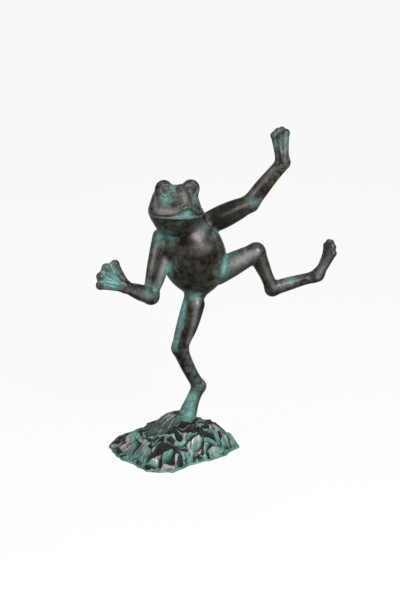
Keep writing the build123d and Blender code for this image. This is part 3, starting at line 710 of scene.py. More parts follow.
def cast_piece(name):
    """Points and faces of one casting, with crisp edges where it was parted."""
    skin, parting = sculpt(name)

    def whole(p):
        return np.maximum(skin(p), parting(p))

    low, high = (np.array(c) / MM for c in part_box(name))
    points, faces = surface_net(whole, low - MARGIN, high + MARGIN)
    points = slide(whole, relax(slide(whole, points), faces))
    p32, near = points.astype(np.float32), STEP * EDGE_NEAR
    edge = (np.abs(skin(p32)) < near) & (np.abs(parting(p32)) < near)
    rim = points[edge]
    for _ in range(EDGE_TURNS):
        rim = slide(parting, slide(skin, rim))
    points[edge] = rim
    return slide(whole, points), faces


print("castings are meshed in cubes of", STEP, "mm")

# %% [markdown]
# ## Marks for the finish
# On the real figure the blue-green verdigris lies in broad patches that the maker wiped on, and
# the figure also gets painted highlights and painted shade in streaks. Painting an image would do, but
# it needs a UV map, so each patch is a soft line in space, with a radius and a strength. A patch on a
# limb is given by its share along the bone, and by how far right and up it lies as seen from the
# front.

# %% Patches
BENT_ARM, BENT_FOREARM = ("right_shoulder", "right_elbow"), ("right_elbow", "right_wrist")
RAISED_ARM, RAISED_FOREARM = ("left_shoulder", "left_elbow"), ("left_elbow", "left_wrist")
STANDING_THIGH, STANDING_TARSUS = ("right_hip", "right_knee"), ("right_heel", "right_ankle")
LIFTED_THIGH, LIFTED_SHIN = ("left_hip", "left_knee"), ("left_knee", "left_heel")
LIFTED_TARSUS = ("left_heel", "left_ankle")
# Hands and feet have no bone of their own here: their patches start from one joint
LOW_HAND = 2 * ("right_wrist",)
RAISED_HAND = 2 * ("left_wrist",)
LIFTED_FOOT = 2 * ("left_ankle",)
PATCH_DEPTH = -8.0


def dab(place, radius, strength):
    """A round patch: its start, its end, its radius and its strength."""
    return place, place, radius, strength


def on_head(radius, strength, *ends):
    """A patch at one place, or between two, in the head's own frame."""
    ends = [head_middle + np.array(end) @ HEAD_AXES for end in ends]
    return ends[0], ends[-1], radius, strength


def streak(limb_ends, shares, rights, ups, radius, strength):
    """A patch drawn along a limb."""
    a, b = limb_ends
    ends = [JOINT[a] + bone(a, b) * share + np.array((right, PATCH_DEPTH, up))
            for share, right, up in zip(shares, rights, ups)]
    return *ends, radius, strength


def spot(limb_ends, share, right, up, radius, strength):
    """A patch near one point of a limb."""
    return streak(limb_ends, (share, share), (right, right), (up, up), radius, strength)


print("middle of the standing thigh:", np.round(spot(STANDING_THIGH, 0.5, 0, 0, 1, 1)[0], 1).tolist())

# %% [markdown]
# The verdigris has two layers: a thin wash all over a casting, more on some than on others, and
# the patches, which lie in the joints, round the eyes and in the mouth.

# %% Verdigris
# How much verdigris each casting carries all over
WASH = {"head": 0.35, "torso": 0.2, "left_forearm": 0.25, "left_hand": 0.5, "right_upper_arm": 0.35,
        "right_forearm": 0.5, "right_hand": 0.38, "right_thigh": 0.25, "left_thigh": 0.68,
        "left_shin": 0.2, "left_tarsus": 0.4, "left_foot": 0.35, "right_shin": 0.5,
        "right_tarsus": 0.85, "right_foot": 0.4}
PATCHES = [
    spot(STANDING_THIGH, 0.0, 0, 2, 18, 0.85),
    streak(STANDING_THIGH, (0.1, 0.95), (-13, -10), (0, 0), 9, 0.95),
    spot(STANDING_THIGH, 0.85, -8, 0, 14, 0.6),
    spot(STANDING_TARSUS, 0.5, -3, 0, 22, 0.9),
    spot(STANDING_TARSUS, 1.2, 0, 0, 22, 1.0),
    spot(BENT_ARM, 0.0, 2, 8, 26, 0.75),
    spot(BENT_ARM, 0.5, 17, 0, 18, 0.8),
    spot(BENT_FOREARM, 0.15, 6, 9, 18, 0.9),
    spot(LOW_HAND, 0, -20, 14, 30, 0.8),
    spot(RAISED_FOREARM, 0.10, 2, 0, 18, 0.7),
    spot(RAISED_HAND, 0, 0, 2, 16, 0.6),
    spot(RAISED_HAND, 0, 0, 30, 22, 0.8),
    spot(LIFTED_THIGH, 0.05, 0, 0, 24, 0.8),
    spot(LIFTED_THIGH, 0.5, 0, 12, 20, 0.6),
    spot(LIFTED_TARSUS, 0.4, 0, 8, 18, 0.7),
    spot(LIFTED_FOOT, 0, -8, 30, 20, 0.5),
    dab(JOINT["left_shoulder"] + (-9.0, -20.0, -2.0), 13, 1.0),
    dab(JOINT["left_shoulder"] + (4.0, -16.0, -12.0), 9, 0.8),
    dab(head_middle + (-14.0, -30.0, 13.0), 13, 0.75),
    dab(head_middle + (28.0, -20.0, 10.0), 14, 0.65),
    on_head(13, 0.85, (4.0, -36.0, -9.0)),
    on_head(10, 0.7, (-21.0, -19.0, 23.0)),
    on_head(9, 0.7, (18.0, -19.0, 23.0)),
    on_head(12, 0.6, (-33.0, -10.0, 2.0)),
    on_head(6, 0.65, (-8.0, -33.0, -24.0)),
    on_head(7, 0.75, (17.0, -28.0, 12.0)),
]
print("patches of verdigris:", len(PATCHES))

# %% [markdown]
# Over the verdigris go painted highlights, pale streaks on the lip, the brow and the swell of each
# limb, and painted shade darkens the throat, the undersides and the lines between fingers. The pupils
# are darkened too.

# %% Painted highlights, soot and painted shade
# Painted highlights: pale streaks where the lamp's glint falls on the belly, the head and the limbs
BELLY_HIGHLIGHT = np.array((32.4, -20.0, 335.0)), np.array((46.4, -20.0, 307.0))
PAINTED_HIGHLIGHTS = [
    (*BELLY_HIGHLIGHT, 9, 0.35),
    on_head(10, 0.4, (1.0, -36.0, 14.0)),
    on_head(4.5, 0.6, (-30.0, -20.0, -6.0), (-12.0, -35.0, -6.0)),
    on_head(4, 0.35, (-34.0, -8.0, 12.0), (-34.0, -14.0, -2.0)),
    streak(STANDING_THIGH, (0.04, 0.5), (4.7, 9.0), (0, 0), 4, 0.85),
    streak(STANDING_THIGH, (0.5, 0.85), (9.0, 9.8), (0, 0), 4, 0.45),
    streak(BENT_ARM, (0.14, 0.75), (-4.0, -9.5), (0, 0), 4, 0.32),
    streak(BENT_ARM, (0.35, 0.78), (11.0, 8.5), (0, 0), 4, 0.65),
    streak(BENT_FOREARM, (0.2, 0.9), (0, 0), (1, 1), 4, 0.35),
    streak(RAISED_FOREARM, (0.15, 0.85), (-6, -6), (4, 4), 3, 0.3),
    streak(LIFTED_THIGH, (0.3, 0.95), (0, 0), (3, 3), 7, 0.75),
    streak(LIFTED_SHIN, (0.1, 0.9), (4, 4), (0, 0), 3, 0.3),
    streak(LIFTED_TARSUS, (0.08, 0.4), (0, 0), (4, 3), 3.5, 0.28),
    streak(LIFTED_FOOT, (0, 0), (0, 17), (0, 36), 4, 0.5),
    streak(RAISED_HAND, (0, 0), (2, 3), (10, 44), 3, 0.35),
]
# How much less than the rest a casting is worn on its ridges, and how dark it is all over: the
# standing foot and the torso darker, the raised upper arm with painted shade
WORN_LESS = {"right_hand": 0.45}
SOOT_AND_SHADE = {"left_upper_arm": 0.45, "right_foot": 0.52, "torso": 0.1}
# Painted shade under the chin, in the bent arm's groove, beside the standing thigh's highlight, under
# the lifted thigh and tarsus, near the raised arm's shoulder, along the standing tarsus and between
# the raised fingers; the pupils and lines on the snout and the lifted foot are darkened too
SHADE_UNDER_CHIN = [neck + np.array((across, -26.0, 0.0)) @ TORSO_AXES for across in (-16.0, 18.0)]
DARK_AND_PAINTED_SHADE = [
    (*SHADE_UNDER_CHIN, 8, 0.75),
    on_head(4.6, 0.8, (-22.7, -20.2, 23.5)),
    on_head(4.6, 1.0, (19.2, -20.2, 23.5)),
    on_head(2.6, 0.8, (7.0, -30.0, 21.0), (10.0, -37.0, -1.0)),
    on_head(6, 0.35, (-6.0, -34.0, 4.0)),
    streak(BENT_ARM, (0.28, 0.85), (3.4, -2.0), (0, 0), 4, 0.85),
    streak(STANDING_THIGH, (0.12, 0.9), (-2, 4), (0, 0), 4, 0.8),
    streak(STANDING_THIGH, (0.1, 0.7), (16, 15), (0, 0), 5, 0.8),
    streak(LIFTED_THIGH, (0.1, 0.8), (0, 0), (-13, -13), 6, 0.7),
    streak(LIFTED_TARSUS, (0.1, 0.9), (0, 0), (-7, -6), 4, 0.6),
    spot(RAISED_ARM, 0.25, 2, -2, 14, 0.8),
    streak(STANDING_TARSUS, (0.0, 1.0), (7, 10), (0, 0), 4.5, 0.7),
    streak(RAISED_HAND, (0, 0), (-5, -10), (8, 42), 1.8, 0.75),
    streak(RAISED_HAND, (0, 0), (0, -1), (8, 44), 1.8, 0.75),
    streak(RAISED_HAND, (0, 0), (5, 7), (8, 42), 1.8, 0.75),
    streak(LIFTED_FOOT, (0, 0), (6, 22), (4, 34), 3, 0.6),
]
print("polished places:", len(PAINTED_HIGHLIGHTS), "and dark ones:", len(DARK_AND_PAINTED_SHADE))

# %% [markdown]
# Verdigris was wiped on from the front, and the painted highlights and painted shade are laid on from
# the front too, so depth counts for less than height and width when the distance from a patch is
# measured. A casting's own wash blends into its neighbour's.

# %% Spreading the patches
FROM_FRONT = np.array((1, 0.3, 1))
BLEND_REACH = 4


def blend(table, points):
    """A table's value for each casting, blended where two of them meet."""
    weights = {name: np.exp(-np.maximum(field(points), 0) / BLEND_REACH)
               for name, field in FIELDS.items()}
    return sum(table.get(name, 0.0) * w for name, w in weights.items()) / sum(weights.values())


def spots(base, places, points):
    """The strongest, at each point, of a base value and of all the soft patches."""
    for start, end, radius, strength in places:
        way, to_point = (end - start) * FROM_FRONT, (points - start) * FROM_FRONT
        t = np.clip(to_point @ way / max(way @ way, 1e-6), 0, 1)
        away = np.linalg.norm(to_point - t[:, None] * way, axis=1)
        base = np.maximum(base, strength * bump(away, radius))
    return base


print("verdigris at the right hip:", spots(np.zeros(1), PATCHES, JOINT["right_hip"][None]).round(2))

# %% [markdown]
# Verdigris also gathers in folds, and is worn off where the form stands proud, so the finish has
# to know how hollow each place is. A step away from the skin, the nearest form is closer than
# the step in a fold. How the mesh itself bends tells the fine folds and ridges. Blender's own
# pointiness does that too, but only in one render engine, and the export would lose it.

# %% Folds and ridges
BEND_TURNS = 4


def near_form(p):
    """Distance to the nearest of all the forms."""
    return np.min([field(p) for field in FIELDS.values()], axis=0)


def hollow_of(points, out, reach):
    """How hollow the place is at a reach: 0 in the open, 1 deep in a fold."""
    return np.clip(1.15 - near_form((points + out * reach).astype(np.float32)) / reach, 0, 1)


def normals_of(points, faces):
    """The way out of the skin at each point."""
    first, second = (points[faces[:, k + 2]] - points[faces[:, k]] for k in (0, 1))
    across = np.cross(first, second)
    out = np.zeros_like(points)
    for k in range(4):
        np.add.at(out, faces[:, k], across)
    return out / np.maximum(np.linalg.norm(out, axis=1), 1e-9)[:, None]


def bend_of(points, faces, out):
    """How the skin bends, in 1/mm: above 0 in a fold, below 0 on a ridge."""
    bend = ((relax(points, faces) - points) * out).sum(1) * 4 / STEP ** 2
    for _ in range(BEND_TURNS):
        bend = relax(bend[:, None], faces)[:, 0]
    return bend


print("the bend is evened out", BEND_TURNS, "times")

# %% [markdown]
# Three marks go with each point: the film of verdigris, the shade of soot and painted shade, and the
# rub of worn metal and painted highlights. Along a parting the bend of the mesh says nothing about the
# cast form, so it is left out there, and the seam gets a little verdigris and painted shade of its
# own.

# %% Marks
TIGHT_LOOK, WIDE_LOOK = 3.0, 10.0
RIDGE_FROM, RIDGE_SPAN, FOLD_FROM, FOLD_SPAN = 0.08, 0.22, 0.015, 0.12
RIDGE_RUB = 0.7


def marks_of(points, faces, parting):
    """Film of verdigris, shade of soot and painted shade, and rub of wear and painted highlights, for
    each point.
    """
    p32, out = points.astype(np.float32), normals_of(points, faces)
    tight, wide = hollow_of(points, out, TIGHT_LOOK), hollow_of(points, out, WIDE_LOOK)
    off_seam = np.clip((np.abs(parting(p32)) - 1) / 3, 0, 1)
    bend = bend_of(points, faces, out)
    ridge = np.clip((-bend - RIDGE_FROM) / RIDGE_SPAN, 0, 1) * off_seam
    fold = np.clip((bend - FOLD_FROM) / FOLD_SPAN, 0, 1) * off_seam
    film = spots(blend(WASH, p32), PATCHES, points) + 0.5 * wide + 0.5 * fold - 0.3 * ridge
    # Painted shade in folds, added to the soot and painted shade of the tables
    soot_and_shade = spots(blend(SOOT_AND_SHADE, p32), DARK_AND_PAINTED_SHADE, points) + 0.3 * fold - 0.6 * ridge
    worn = (RIDGE_RUB - blend(WORN_LESS, p32)) * ridge
    # A tight seam gets verdigris and painted shade
    return {"film": film + 0.5 * tight * (1 - off_seam),
            "shade": np.clip(soot_and_shade, 0, 1) + 0.35 * tight * (1 - off_seam),
            "rub": spots(worn, PAINTED_HIGHLIGHTS, points)}


print("folds are looked for within", WIDE_LOOK, "mm")

# %% [markdown]
# Now the castings are made, one object each. Every object rides on the one rigid body, replaces
# the solid it was sculpted over, and carries its marks as point attributes.

# %% Skins
SHARP_FROM = radians(50)


def mesh_object(name, points, faces, marks):
    """A Blender object of millimetre points, with its marks as point attributes."""
    mesh = bpy.data.meshes.new(name)
    mesh.from_pydata((np.asarray(points) * MM).tolist(), [], [list(face) for face in faces])
    mesh.validate()
    for mark, values in marks.items():
        layer = mesh.attributes.new(mark, "FLOAT", "POINT")
        layer.data.foreach_set("value", np.asarray(values, np.float32))
    mesh.shade_smooth()
    mesh.set_sharp_from_angle(angle=SHARP_FROM)
    piece = bpy.data.objects.new(name, mesh)
    bpy.context.scene.collection.objects.link(piece)
    return piece


skins = {}
for node in FIELDS:
    points, faces = cast_piece(node)
    piece = mesh_object("skin_" + node, points, faces, marks_of(points, faces, sculpt(node)[1]))
    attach(piece, "root")
    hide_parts(node)
    skins[node] = piece
    print(node, len(points), "points", len(faces), "faces")

# %% [markdown]
# ## The rock
# The rock is a heap of chipped stone, cast hollow. It has no overhangs worth showing, so rings of
# points from the rim to the crest are enough, dropped onto the solid below them. Rays find the
# solid: they ask how far its rim and its hollow reach, and how high its top and its ceiling are.

# %% Feeling the solid
rock_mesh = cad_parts["base_rock"].data
rock_solid = BVHTree.FromPolygons([v.co for v in rock_mesh.vertices],
                                  [p.vertices for p in rock_mesh.polygons])
RIM_LOOK = 2.5
# Where the rays start, in metres
OUTSIDE, BELOW, ABOVE = 0.3, -0.05, 0.2
BOSS_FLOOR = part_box("foot_washer")[1].z / MM


def rim_reach(angle):
    """How far the solid reaches from the middle at an angle, just above the floor."""
    way = Vector((cos(angle), sin(angle), 0))
    hit = rock_solid.ray_cast(Vector((0, 0, RIM_LOOK * MM)) + way * OUTSIDE, -way)[0]
    return hit.xy.length / MM


def inner_reach(angle):
    """How far the hollow reaches from the middle at an angle, just above the floor."""
    hit = rock_solid.ray_cast(Vector((0, 0, RIM_LOOK * MM)), Vector((cos(angle), sin(angle), 0)))[0]
    return hit.xy.length / MM


def ceiling(x, y):
    """Height of the hollow above the floor."""
    hit = rock_solid.ray_cast(Vector((x * MM, y * MM, BELOW)), Vector((0, 0, 1)))[0]
    return hit.z / MM if hit else BOSS_FLOOR


def solid_height(x, y):
    """Height of the solid's top above the floor."""
    hit = rock_solid.ray_cast(Vector((x * MM, y * MM, ABOVE)), Vector((0, 0, -1)))[0]
    return hit.z / MM if hit else 0.0


print("the rock reaches", round(rim_reach(0.0), 1), "mm to the frog's left")

# %% [markdown]
# The crust looks like a clump of stiff leaves: long tilted shards, most of them turned one of two
# ways, with gaps between that get painted shade. Fracture tools could break a mesh like that, but a
# drawn set of
# shards is lighter: each point belongs to the nearest one, measured in the shard's own stretched
# frame, and takes its height from the shard's tilt. Some shards are sooty and some are pale.

# %% Shards
CHIPS, ROCK_HALF = 330, 100
# The two ways that shards lie, in radians, how many lie so, and how much each one strays
LIE, LIE_SHARE, LIE_SPREAD = (0.75, -0.5), (0.6, 0.4), 0.55
SOOTY_SHARE, SOOTY, PALE_SHARE, PALE = 0.36, 0.9, 0.16, 0.6
chance = np.random.default_rng(7)
chip_place = chance.uniform(-ROCK_HALF, ROCK_HALF, (CHIPS, 2))
chip_turn = chance.choice(LIE, CHIPS, p=LIE_SHARE) + chance.normal(0, LIE_SPREAD, CHIPS)
chip_long = chance.uniform(8.0, 19.0, CHIPS)
chip_wide = chance.uniform(4.0, 7.0, CHIPS)
chip_rise = chance.uniform(1.2, 2.6, CHIPS)
chip_lift = chance.uniform(-1.4, 1.4, CHIPS)
chip_soot = np.where(chance.random(CHIPS) < SOOTY_SHARE, SOOTY, 0.0)
chip_pale = np.where(chance.random(CHIPS) < PALE_SHARE, PALE, 0.0) * (chip_soot == 0)
CHIP_FALL, CHIP_STEP, GAP_WIDTH, GAP_STEP = 1.2, 0.16, 0.3, 1.2


def warp(x, y):
    """Places shifted in slow waves, so that the shards' edges aren't straight."""
    return (x + 4 * np.sin(0.09 * y + 1) + 2 * np.sin(0.23 * x + 0.1 * y),
            y + 4 * np.sin(0.08 * x) + 2 * np.sin(0.2 * y - 0.1 * x))


def chips(x, y):
    """For each point: its shard's height, place across it (-1 to 1), gap depth and shard number."""
    x, y = warp(x, y)
    dx, dy = x[:, None] - chip_place[:, 0], y[:, None] - chip_place[:, 1]
    c, s = np.cos(chip_turn), np.sin(chip_turn)
    across = (dy * c - dx * s) / chip_wide
    far = np.hypot((dx * c + dy * s) / chip_long, across)
    order = np.argsort(far, axis=1)[:, :2]
    tops = chip_lift + chip_rise * np.clip(across, -1, 1) - CHIP_FALL * far
    first, second = np.take_along_axis(far, order, 1).T
    own, next_one = np.take_along_axis(tops, order, 1).T
    stay = 0.5 + 0.5 * np.clip((second - first) / CHIP_STEP, 0, 1)
    near_gap = np.clip(1 - (second - first) / GAP_WIDTH, 0, 1)
    gap = near_gap * np.clip((next_one - own) / GAP_STEP, 0, 1)
    own_across = np.take_along_axis(across, order[:, :1], 1)[:, 0]
    return own * stay + next_one * (1 - stay), own_across, gap, order[:, 0]


print("shards:", CHIPS, "of which sooty:", int((chip_soot > 0).sum()),
      "and pale:", int((chip_pale > 0).sum()))

# %% [markdown]
# The rings crowd a little towards the rim, where the shards are seen best. The crust fades out at
# the rim and under the foot's seat, and lies a little lower on the frog's right than on its left.

# %% Top of the rock
TURNS, RINGS = ((420, 110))
# Waves of the rim: size, number round the rock, start
RIM_WAVES = ((1.0, 9, 0), (0.8, 17, 1), (0.5, 31, 0))
CREST_SHARE, RING_CROWD = 0.02, 0.85
TILT, TILT_LOW, TILT_HIGH = 0.05, -1.8, 1.5
RIM_FADE, RIM_TOP = 9, 3.0
angles = np.linspace(0, 2 * pi, TURNS, endpoint=False)
reach = np.array([rim_reach(a) for a in angles])
for size, number, start in RIM_WAVES:
    reach = reach + size * np.sin(number * angles + start)
share = np.linspace(1, CREST_SHARE, RINGS) ** RING_CROWD
x = np.outer(share, reach * np.cos(angles)).ravel()
y = np.outer(share, reach * np.sin(angles)).ravel()
height = np.array([solid_height(a, b) for a, b in zip(x, y)])
lift, across, gap, chip = chips(x, y)
from_rim = np.clip(np.repeat(1 - share, TURNS) * RIM_FADE, 0, 1)
foot_here = np.stack([x, y, height], 1).astype(np.float32)
off_seat = np.clip((right_foot(foot_here) + 1) / 5, 0, 1)
z = height + (lift + np.clip(TILT * x, TILT_LOW, TILT_HIGH)) * from_rim * off_seat
top = np.stack([x, y, np.maximum(z, RIM_TOP)], 1)
print("top of the rock:", len(top), "points, up to", round(z.max(), 1), "mm high")

# %% [markdown]
# Below the rim a rounded lip turns in, and the underside follows the hollow of the casting, so
# the crust is one closed shell. Each ring is joined to the next by a row of four-sided faces.

# %% Underside of the rock
# Points of the lip: how far out from the rim, and how high
LIP = ((0.6, 0.0), (0.9, 1.2), (0.6, 2.4), (-0.3, 3.0))
UNDER_SHARES = np.linspace(0.03, 0.99, 24)
rim_ways = np.stack([np.cos(angles), np.sin(angles), 0 * angles], 1)
lip = [rim_ways * (reach + out)[:, None] + (0, 0, up) for out, up in LIP]
inner = np.array([inner_reach(a) for a in angles])
under = []
for part in UNDER_SHARES:
    spread = rim_ways * (inner * part)[:, None]
    under.append(spread + np.array([(0, 0, ceiling(*p[:2])) for p in spread]))
under.append(rim_ways * inner[:, None])
points = np.concatenate([*under, *lip, top])
faces = [list(range(TURNS))[::-1], list(range(len(points) - TURNS, len(points)))]
for ring in range(len(points) // TURNS - 1):
    low = ring * TURNS + np.arange(TURNS)
    nxt = ring * TURNS + (np.arange(TURNS) + 1) % TURNS
    faces += np.stack([low, nxt, nxt + TURNS, low + TURNS], 1).tolist()
print("underside of the rock:", len(points) - len(top), "points")

# %% [markdown]
# A shard gets painted shade along its low edge and in the gaps, and a pale colour along its high
# edge, which is wear and a painted highlight. The far slope behind the foot is made darker.

# %% Rock
FAR_DARKENING = 0.7
# Darker on the far slope behind the foot
far_side = FAR_DARKENING * np.clip((y + 2) / 22, 0, 1) * np.clip((48 - y) / 16, 0, 1)
# Painted shade along each shard's low edge and in the gaps, and soot on the random sooty shards
low_edge = np.maximum((-0.1 - across) / 0.6, gap)
top_shade = np.clip(low_edge + chip_soot[chip] * (across < 0.5) + far_side, 0, 1)
# A pale colour along each shard's high edge, wear and a painted highlight, and on the random pale
# shards
top_wear_and_highlight = np.clip((across - 0.4) / 0.4, 0, 1) + chip_pale[chip] * np.clip(0.6 + across, 0, 1)
none = np.zeros(len(points) - len(top))
shade, rub = np.concatenate([none, top_shade]), np.concatenate([none, top_wear_and_highlight])
marks = {"film": 0.95 - 0.5 * rub - 0.3 * shade, "shade": shade, "rub": rub}
rock = mesh_object("rock_crust", points, faces, marks)
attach(rock, "root")
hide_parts("base_rock")
print("rock:", len(points), "points")

# %% [markdown]
# ## Writing shaders as sums
# A shader is a graph of small maths nodes. To keep it readable, one class wraps a socket so that
# ordinary Python operators add the nodes, and one method adds any other node by its type.

# %% Sums of sockets
class Wire:
    """A socket of a node tree, with sums that add Math nodes."""

    def __init__(self, finish, socket):
        self.finish, self.socket = finish, socket

    def math(self, operation, a, b, clamp=False):
        """A Math node of two values or wires."""
        node = self.finish.tree.nodes.new("ShaderNodeMath")
        node.operation, node.use_clamp = operation, clamp
        for socket, value in zip(node.inputs, (a, b)):
            self.finish.plug(socket, value)
        return Wire(self.finish, node.outputs[0])

    def __add__(self, other):
        return self.math("ADD", self, other)

    def __radd__(self, other):
        return self.math("ADD", other, self)

    def __sub__(self, other):
        return self.math("SUBTRACT", self, other)

    def __rsub__(self, other):
        return self.math("SUBTRACT", other, self)

    def __mul__(self, other):
        return self.math("MULTIPLY", self, other)

    def __rmul__(self, other):
        return self.math("MULTIPLY", other, self)

    def clamp(self):
        """The value held between 0 and 1."""
        return self.math("ADD", self, 0.0, clamp=True)


print("operators that add Math nodes: + - *")

# %% [markdown]
# The second class holds a node tree: that of a material, or that of the world. Its node method
# sets a node's settings first, because they can change its sockets, and then fills the sockets.
# A socket is called by its name, or by i and its number where names repeat.

# %% Finish helper
class Finish:
    """The node tree of a material or of the world, and its main shader."""

    def __init__(self, owner, shader="Principled BSDF"):
        owner.use_nodes = True
        self.owner, self.tree = owner, owner.node_tree
        self.shader = self.tree.nodes[shader]

    def plug(self, socket, value):
        """A link or a plain value put into a socket."""
        if isinstance(value, Wire):
            self.tree.links.new(value.socket, socket)
        else:
            socket.default_value = value

    def node(self, kind, settings=None, out=0, **sockets):
        """Any node, by its type, its settings and its sockets; gives one of its outputs."""
        node = self.tree.nodes.new(kind)
        for key, value in (settings or {}).items():
            if key == "stops":
                for stop, (place, colour) in zip(node.color_ramp.elements, value[:2]):
                    stop.position, stop.color = place, colour
                for place, colour in value[2:]:
                    node.color_ramp.elements.new(place).color = colour
            else:
                setattr(node, key, value)
        for key, value in sockets.items():
            self.plug(node.inputs[int(key[1:]) if key[1:].isdigit() else key], value)
        return Wire(self, node.outputs[out])

    def mix(self, factor, a, b):
        """Two colours mixed by a factor."""
        return self.node("ShaderNodeMix", {"data_type": "RGBA"}, out=2, i0=factor, i6=a, i7=b)

    def set(self, **sockets):
        """Values or links for the main shader, by name with _ for a space."""
        for key, value in sockets.items():
            self.plug(self.shader.inputs[key.replace("_", " ")], value)
        return self


print("nodes are added by their type, their settings and their sockets")

# %% [markdown]
# ## Patina
# The metal is a dark brown, nearly black, with a dull gloss. Verdigris lies over it as a chalky
# blue-green skin, grey where it is thin. Colours are easiest to judge as values on a screen, but
# a shader counts light, so a helper turns one into the other.

# %% Colours
def srgb(r, g, b):
    """A colour read as screen values from 0 to 255, as the shader's linear colour."""
    line = [((v / 255 + 0.055) / 1.055) ** 2.4 if v > 10 else v / 3294 for v in (r, g, b)]
    return (*line, 1.0)


BARE_DARK = (0.011, 0.0095, 0.008, 1)
BARE_LIGHT = (0.088, 0.070, 0.055, 1)
OLIVE = (0.060, 0.068, 0.050, 1)
# Pale colours of worn metal and of painted highlights
FROG_WEAR_AND_HIGHLIGHT = (0.32, 0.28, 0.28, 1)
ROCK_WEAR_AND_HIGHLIGHT = (0.42, 0.38, 0.39, 1)
# Near black of soot and of painted shade
SOOT_AND_SHADE_COLOUR = (0.010, 0.009, 0.009, 1)
# Verdigris from its thinnest film to its thickest
GREENS = ((0.0, srgb(74, 76, 70)), (0.35, srgb(106, 118, 112)),
          (0.7, srgb(92, 138, 131)), (1.0, srgb(126, 176, 168)))
print("middle grey on the screen is", round(srgb(128, 128, 128)[0], 3), "in the shader")

# %% [markdown]
# The verdigris is thick in the hollows, thin and broken elsewhere, with bare brown showing through
# in cloudy patches. It could be painted, but the marks and three sizes of noise give it on any
# shape. Frog and rock use the same graph with other numbers.

# %% Patina finish
def patina(name, film_start, wear_and_highlight_colour):
    """Dark metal under a broken film of verdigris, pale with wear and painted highlights, dark with
    soot and painted shade.
    """
    f = Finish(bpy.data.materials.new(name))
    place = f.node("ShaderNodeTexCoord", out="Object")
    cloud = f.node("ShaderNodeTexNoise", Vector=place, Scale=42.0, Detail=3.0, Roughness=0.55)
    blotch = f.node("ShaderNodeTexNoise", Vector=place, Scale=130.0, Detail=5.0, Roughness=0.62)
    grain = f.node("ShaderNodeTexNoise", Vector=place, Scale=520.0, Detail=3.0, Roughness=0.6)
    laid, shade, rub = [f.node("ShaderNodeAttribute", {"attribute_name": mark}, out="Fac")
                        for mark in ("film", "shade", "rub")]
    broken = (cloud - 0.5) * 0.9 + (blotch - 0.5) * 1.0 + (grain - 0.5) * 0.6
    film = (laid + broken - film_start).clamp()
    light = f.mix((blotch * 3.0 - 1.0).clamp(), BARE_LIGHT, OLIVE)
    bare = f.mix((cloud * 1.8 + blotch * 1.8 - 1.45).clamp(), BARE_DARK, light)
    thick = (film + (grain - 0.5) * 0.4).clamp()
    green = f.node("ShaderNodeValToRGB", {"stops": GREENS}, Fac=thick)
    over = (film * 1.4).clamp()
    # Wear and painted highlights lighten the colour towards a pale grey
    coat = f.mix((rub * (0.4 + blotch * 1.2)).clamp(), f.mix(over, bare, green), wear_and_highlight_colour)
    # Soot and painted shade darken the colour towards near black
    colour = f.mix((shade * (0.55 + blotch * 0.7)).clamp(), coat, SOOT_AND_SHADE_COLOUR)
    skin = f.node("ShaderNodeBump", Strength=0.3, Distance=0.0005, Height=grain * 0.6 + blotch)
    f.set(Base_Color=colour, Metallic=0.36 - over * 0.22, Normal=skin)
    f.set(Roughness=0.29 + over * 0.14 + (blotch - 0.5) * 0.3)
    f.set(Specular_Tint=(0.12, 0.12, 0.12, 1), Specular_IOR_Level=0.1)
    print(name, "has", len(f.tree.nodes), "nodes")
    return f.owner


frog_finish = patina("frog_patina", 0.30, FROG_WEAR_AND_HIGHLIGHT)
rock_finish = patina("rock_patina", 0.20, ROCK_WEAR_AND_HIGHLIGHT)
for piece in skins.values():
    piece.data.materials.append(frog_finish)
rock.data.materials.append(rock_finish)

# %% [markdown]
# The dowels, pins, stud, washer and nut are turned steel. They are hidden inside, but each keeps
# its own solid, so each gets a plain steel. A wave texture gives the faint marks of the lathe.

# %% Steel
def turned_steel():
    """Bright steel with fine turning marks."""
    f = Finish(bpy.data.materials.new("turned_steel"))
    place = f.node("ShaderNodeTexCoord", out="Object")
    rings = f.node("ShaderNodeTexWave", Vector=place, Scale=900.0, Distortion=1.5)
    grey = f.mix(rings, srgb(120, 121, 124), srgb(168, 169, 172))
    return f.set(Base_Color=grey, Metallic=1.0, Roughness=0.28 + rings * 0.12).owner


steel = turned_steel()
steel_nodes = [node for name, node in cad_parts.items()
               if name not in skins and name != "base_rock"]
for node in steel_nodes:
    node.data.materials.clear()
    node.data.materials.append(steel)
print("steel pieces:", len(steel_nodes))

# %% [markdown]
# ## Stage, light and camera
# The figure stands on a plain pale floor, white all round. More light would bleach the metal, so
# the floor and the world show white only to the rays that look at them, or at their reflection,
# and shine little on the figure. A tenth of the floor is plain paint, which keeps a faint shadow.

# %% Floor and world
FLOOR_HALF, FLOOR_GLOW = 14.0, 0.9
ROOM_LIGHT = 0.08
WHITE = (1, 1, 1, 1)
WHITE_RAYS = ("Is Camera Ray", "Is Glossy Ray", "Is Transmission Ray")


def seen_white(f):
    """1 for the rays that should see a white background."""
    camera_ray, glossy, through = (f.node("ShaderNodeLightPath", out=ray) for ray in WHITE_RAYS)
    return (camera_ray + glossy + through).clamp()


floor_mesh = bpy.data.meshes.new("floor")
corners = [(x * FLOOR_HALF, y * FLOOR_HALF, 0) for x, y in ((-1, -1), (1, -1), (1, 1), (-1, 1))]
floor_mesh.from_pydata(corners, [], [(0, 1, 2, 3)])
floor = bpy.data.objects.new("floor", floor_mesh)
bpy.context.scene.collection.objects.link(floor)

paint = Finish(bpy.data.materials.new("pale_floor"))
seen = seen_white(paint)
paint.set(Base_Color=paint.mix(seen, (0.2, 0.2, 0.2, 1), (0.9, 0.9, 0.9, 1)), Roughness=0.9)
glow = paint.node("ShaderNodeEmission", Color=WHITE, Strength=1.0)
lit = Wire(paint, paint.shader.outputs[0])
both = paint.node("ShaderNodeMixShader", i0=seen * FLOOR_GLOW, i1=lit, i2=glow)
paint.plug(paint.tree.nodes["Material Output"].inputs["Surface"], both)
floor_mesh.materials.append(paint.owner)

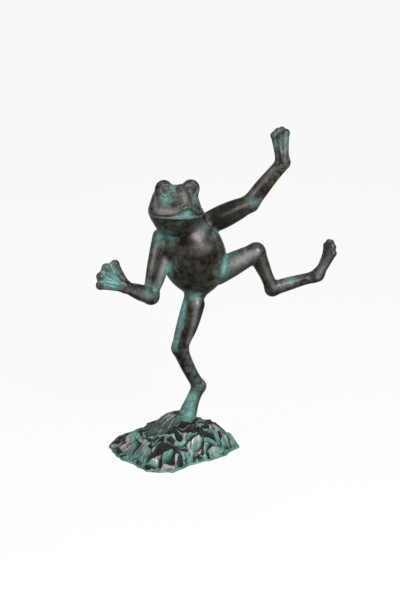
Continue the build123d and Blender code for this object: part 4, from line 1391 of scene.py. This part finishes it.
world = bpy.data.worlds.new("studio")
bpy.context.scene.world = world
sky = Finish(world, "Background")
sky.set(Color=WHITE, Strength=seen_white(sky) * (1 - ROOM_LIGHT) + ROOM_LIGHT)
print("floor:", 2 * FLOOR_HALF, "m wide")

# %% [markdown]
# The light in the photo is soft and comes from the front right and above. A large square lamp
# gives it, with a weak one on the left. The photo doesn't show the back. A third lamp lights it
# evenly from behind, with no glint of its own, so that it isn't black.

# %% Lamps
LAMP_TARGET = (0.04, 0, 0.25)
BACK_WAY, BACK_POWER, BACK_SOFT = (0.3, -1.0, -0.3), 1.6, radians(40)


def lamp(name, kind, way, **settings):
    """A lamp of a kind that shines in a direction."""
    light = bpy.data.lights.new(name, kind)
    for key, value in settings.items():
        setattr(light, key, value)
    holder = bpy.data.objects.new(name, light)
    holder.rotation_euler = Vector(way).to_track_quat("-Z", "Y").to_euler()
    bpy.context.scene.collection.objects.link(holder)
    return holder


def softbox(name, place, size, power):
    """A square lamp that faces the figure."""
    way = Vector(LAMP_TARGET) - Vector(place)
    lamp(name, "AREA", way, size=size, energy=power).location = place


softbox("key_right", (0.9, -1.5, 1.5), 1.0, 52.0)
softbox("fill_left", (-1.4, -1.2, 0.8), 0.9, 9.0)
back_fill = lamp("back_fill", "SUN", BACK_WAY, energy=BACK_POWER, angle=BACK_SOFT)
back_fill.visible_glossy = False
print("lamps:", len(bpy.data.lights))

# %% [markdown]
# The camera stands where the photo was taken from, as far as the outline can tell: it looks down
# by 17 degrees through a long lens. The standard view keeps the white of the background white.

# %% Camera
CAMERA_PLACE, CAMERA_DOWN = (0.038, -2.1995, 0.89845), 17
LENS, SENSOR = 97.2, 36.0
camera = bpy.data.objects.new("camera", bpy.data.cameras.new("camera"))
camera.location = CAMERA_PLACE
camera.rotation_euler = (radians(90 - CAMERA_DOWN), 0, 0)
camera.data.lens, camera.data.sensor_width = LENS, SENSOR
bpy.context.scene.collection.objects.link(camera)
bpy.context.scene.camera = camera
bpy.context.scene.view_settings.view_transform = "Standard"
print("the camera looks down by", CAMERA_DOWN, "degrees")
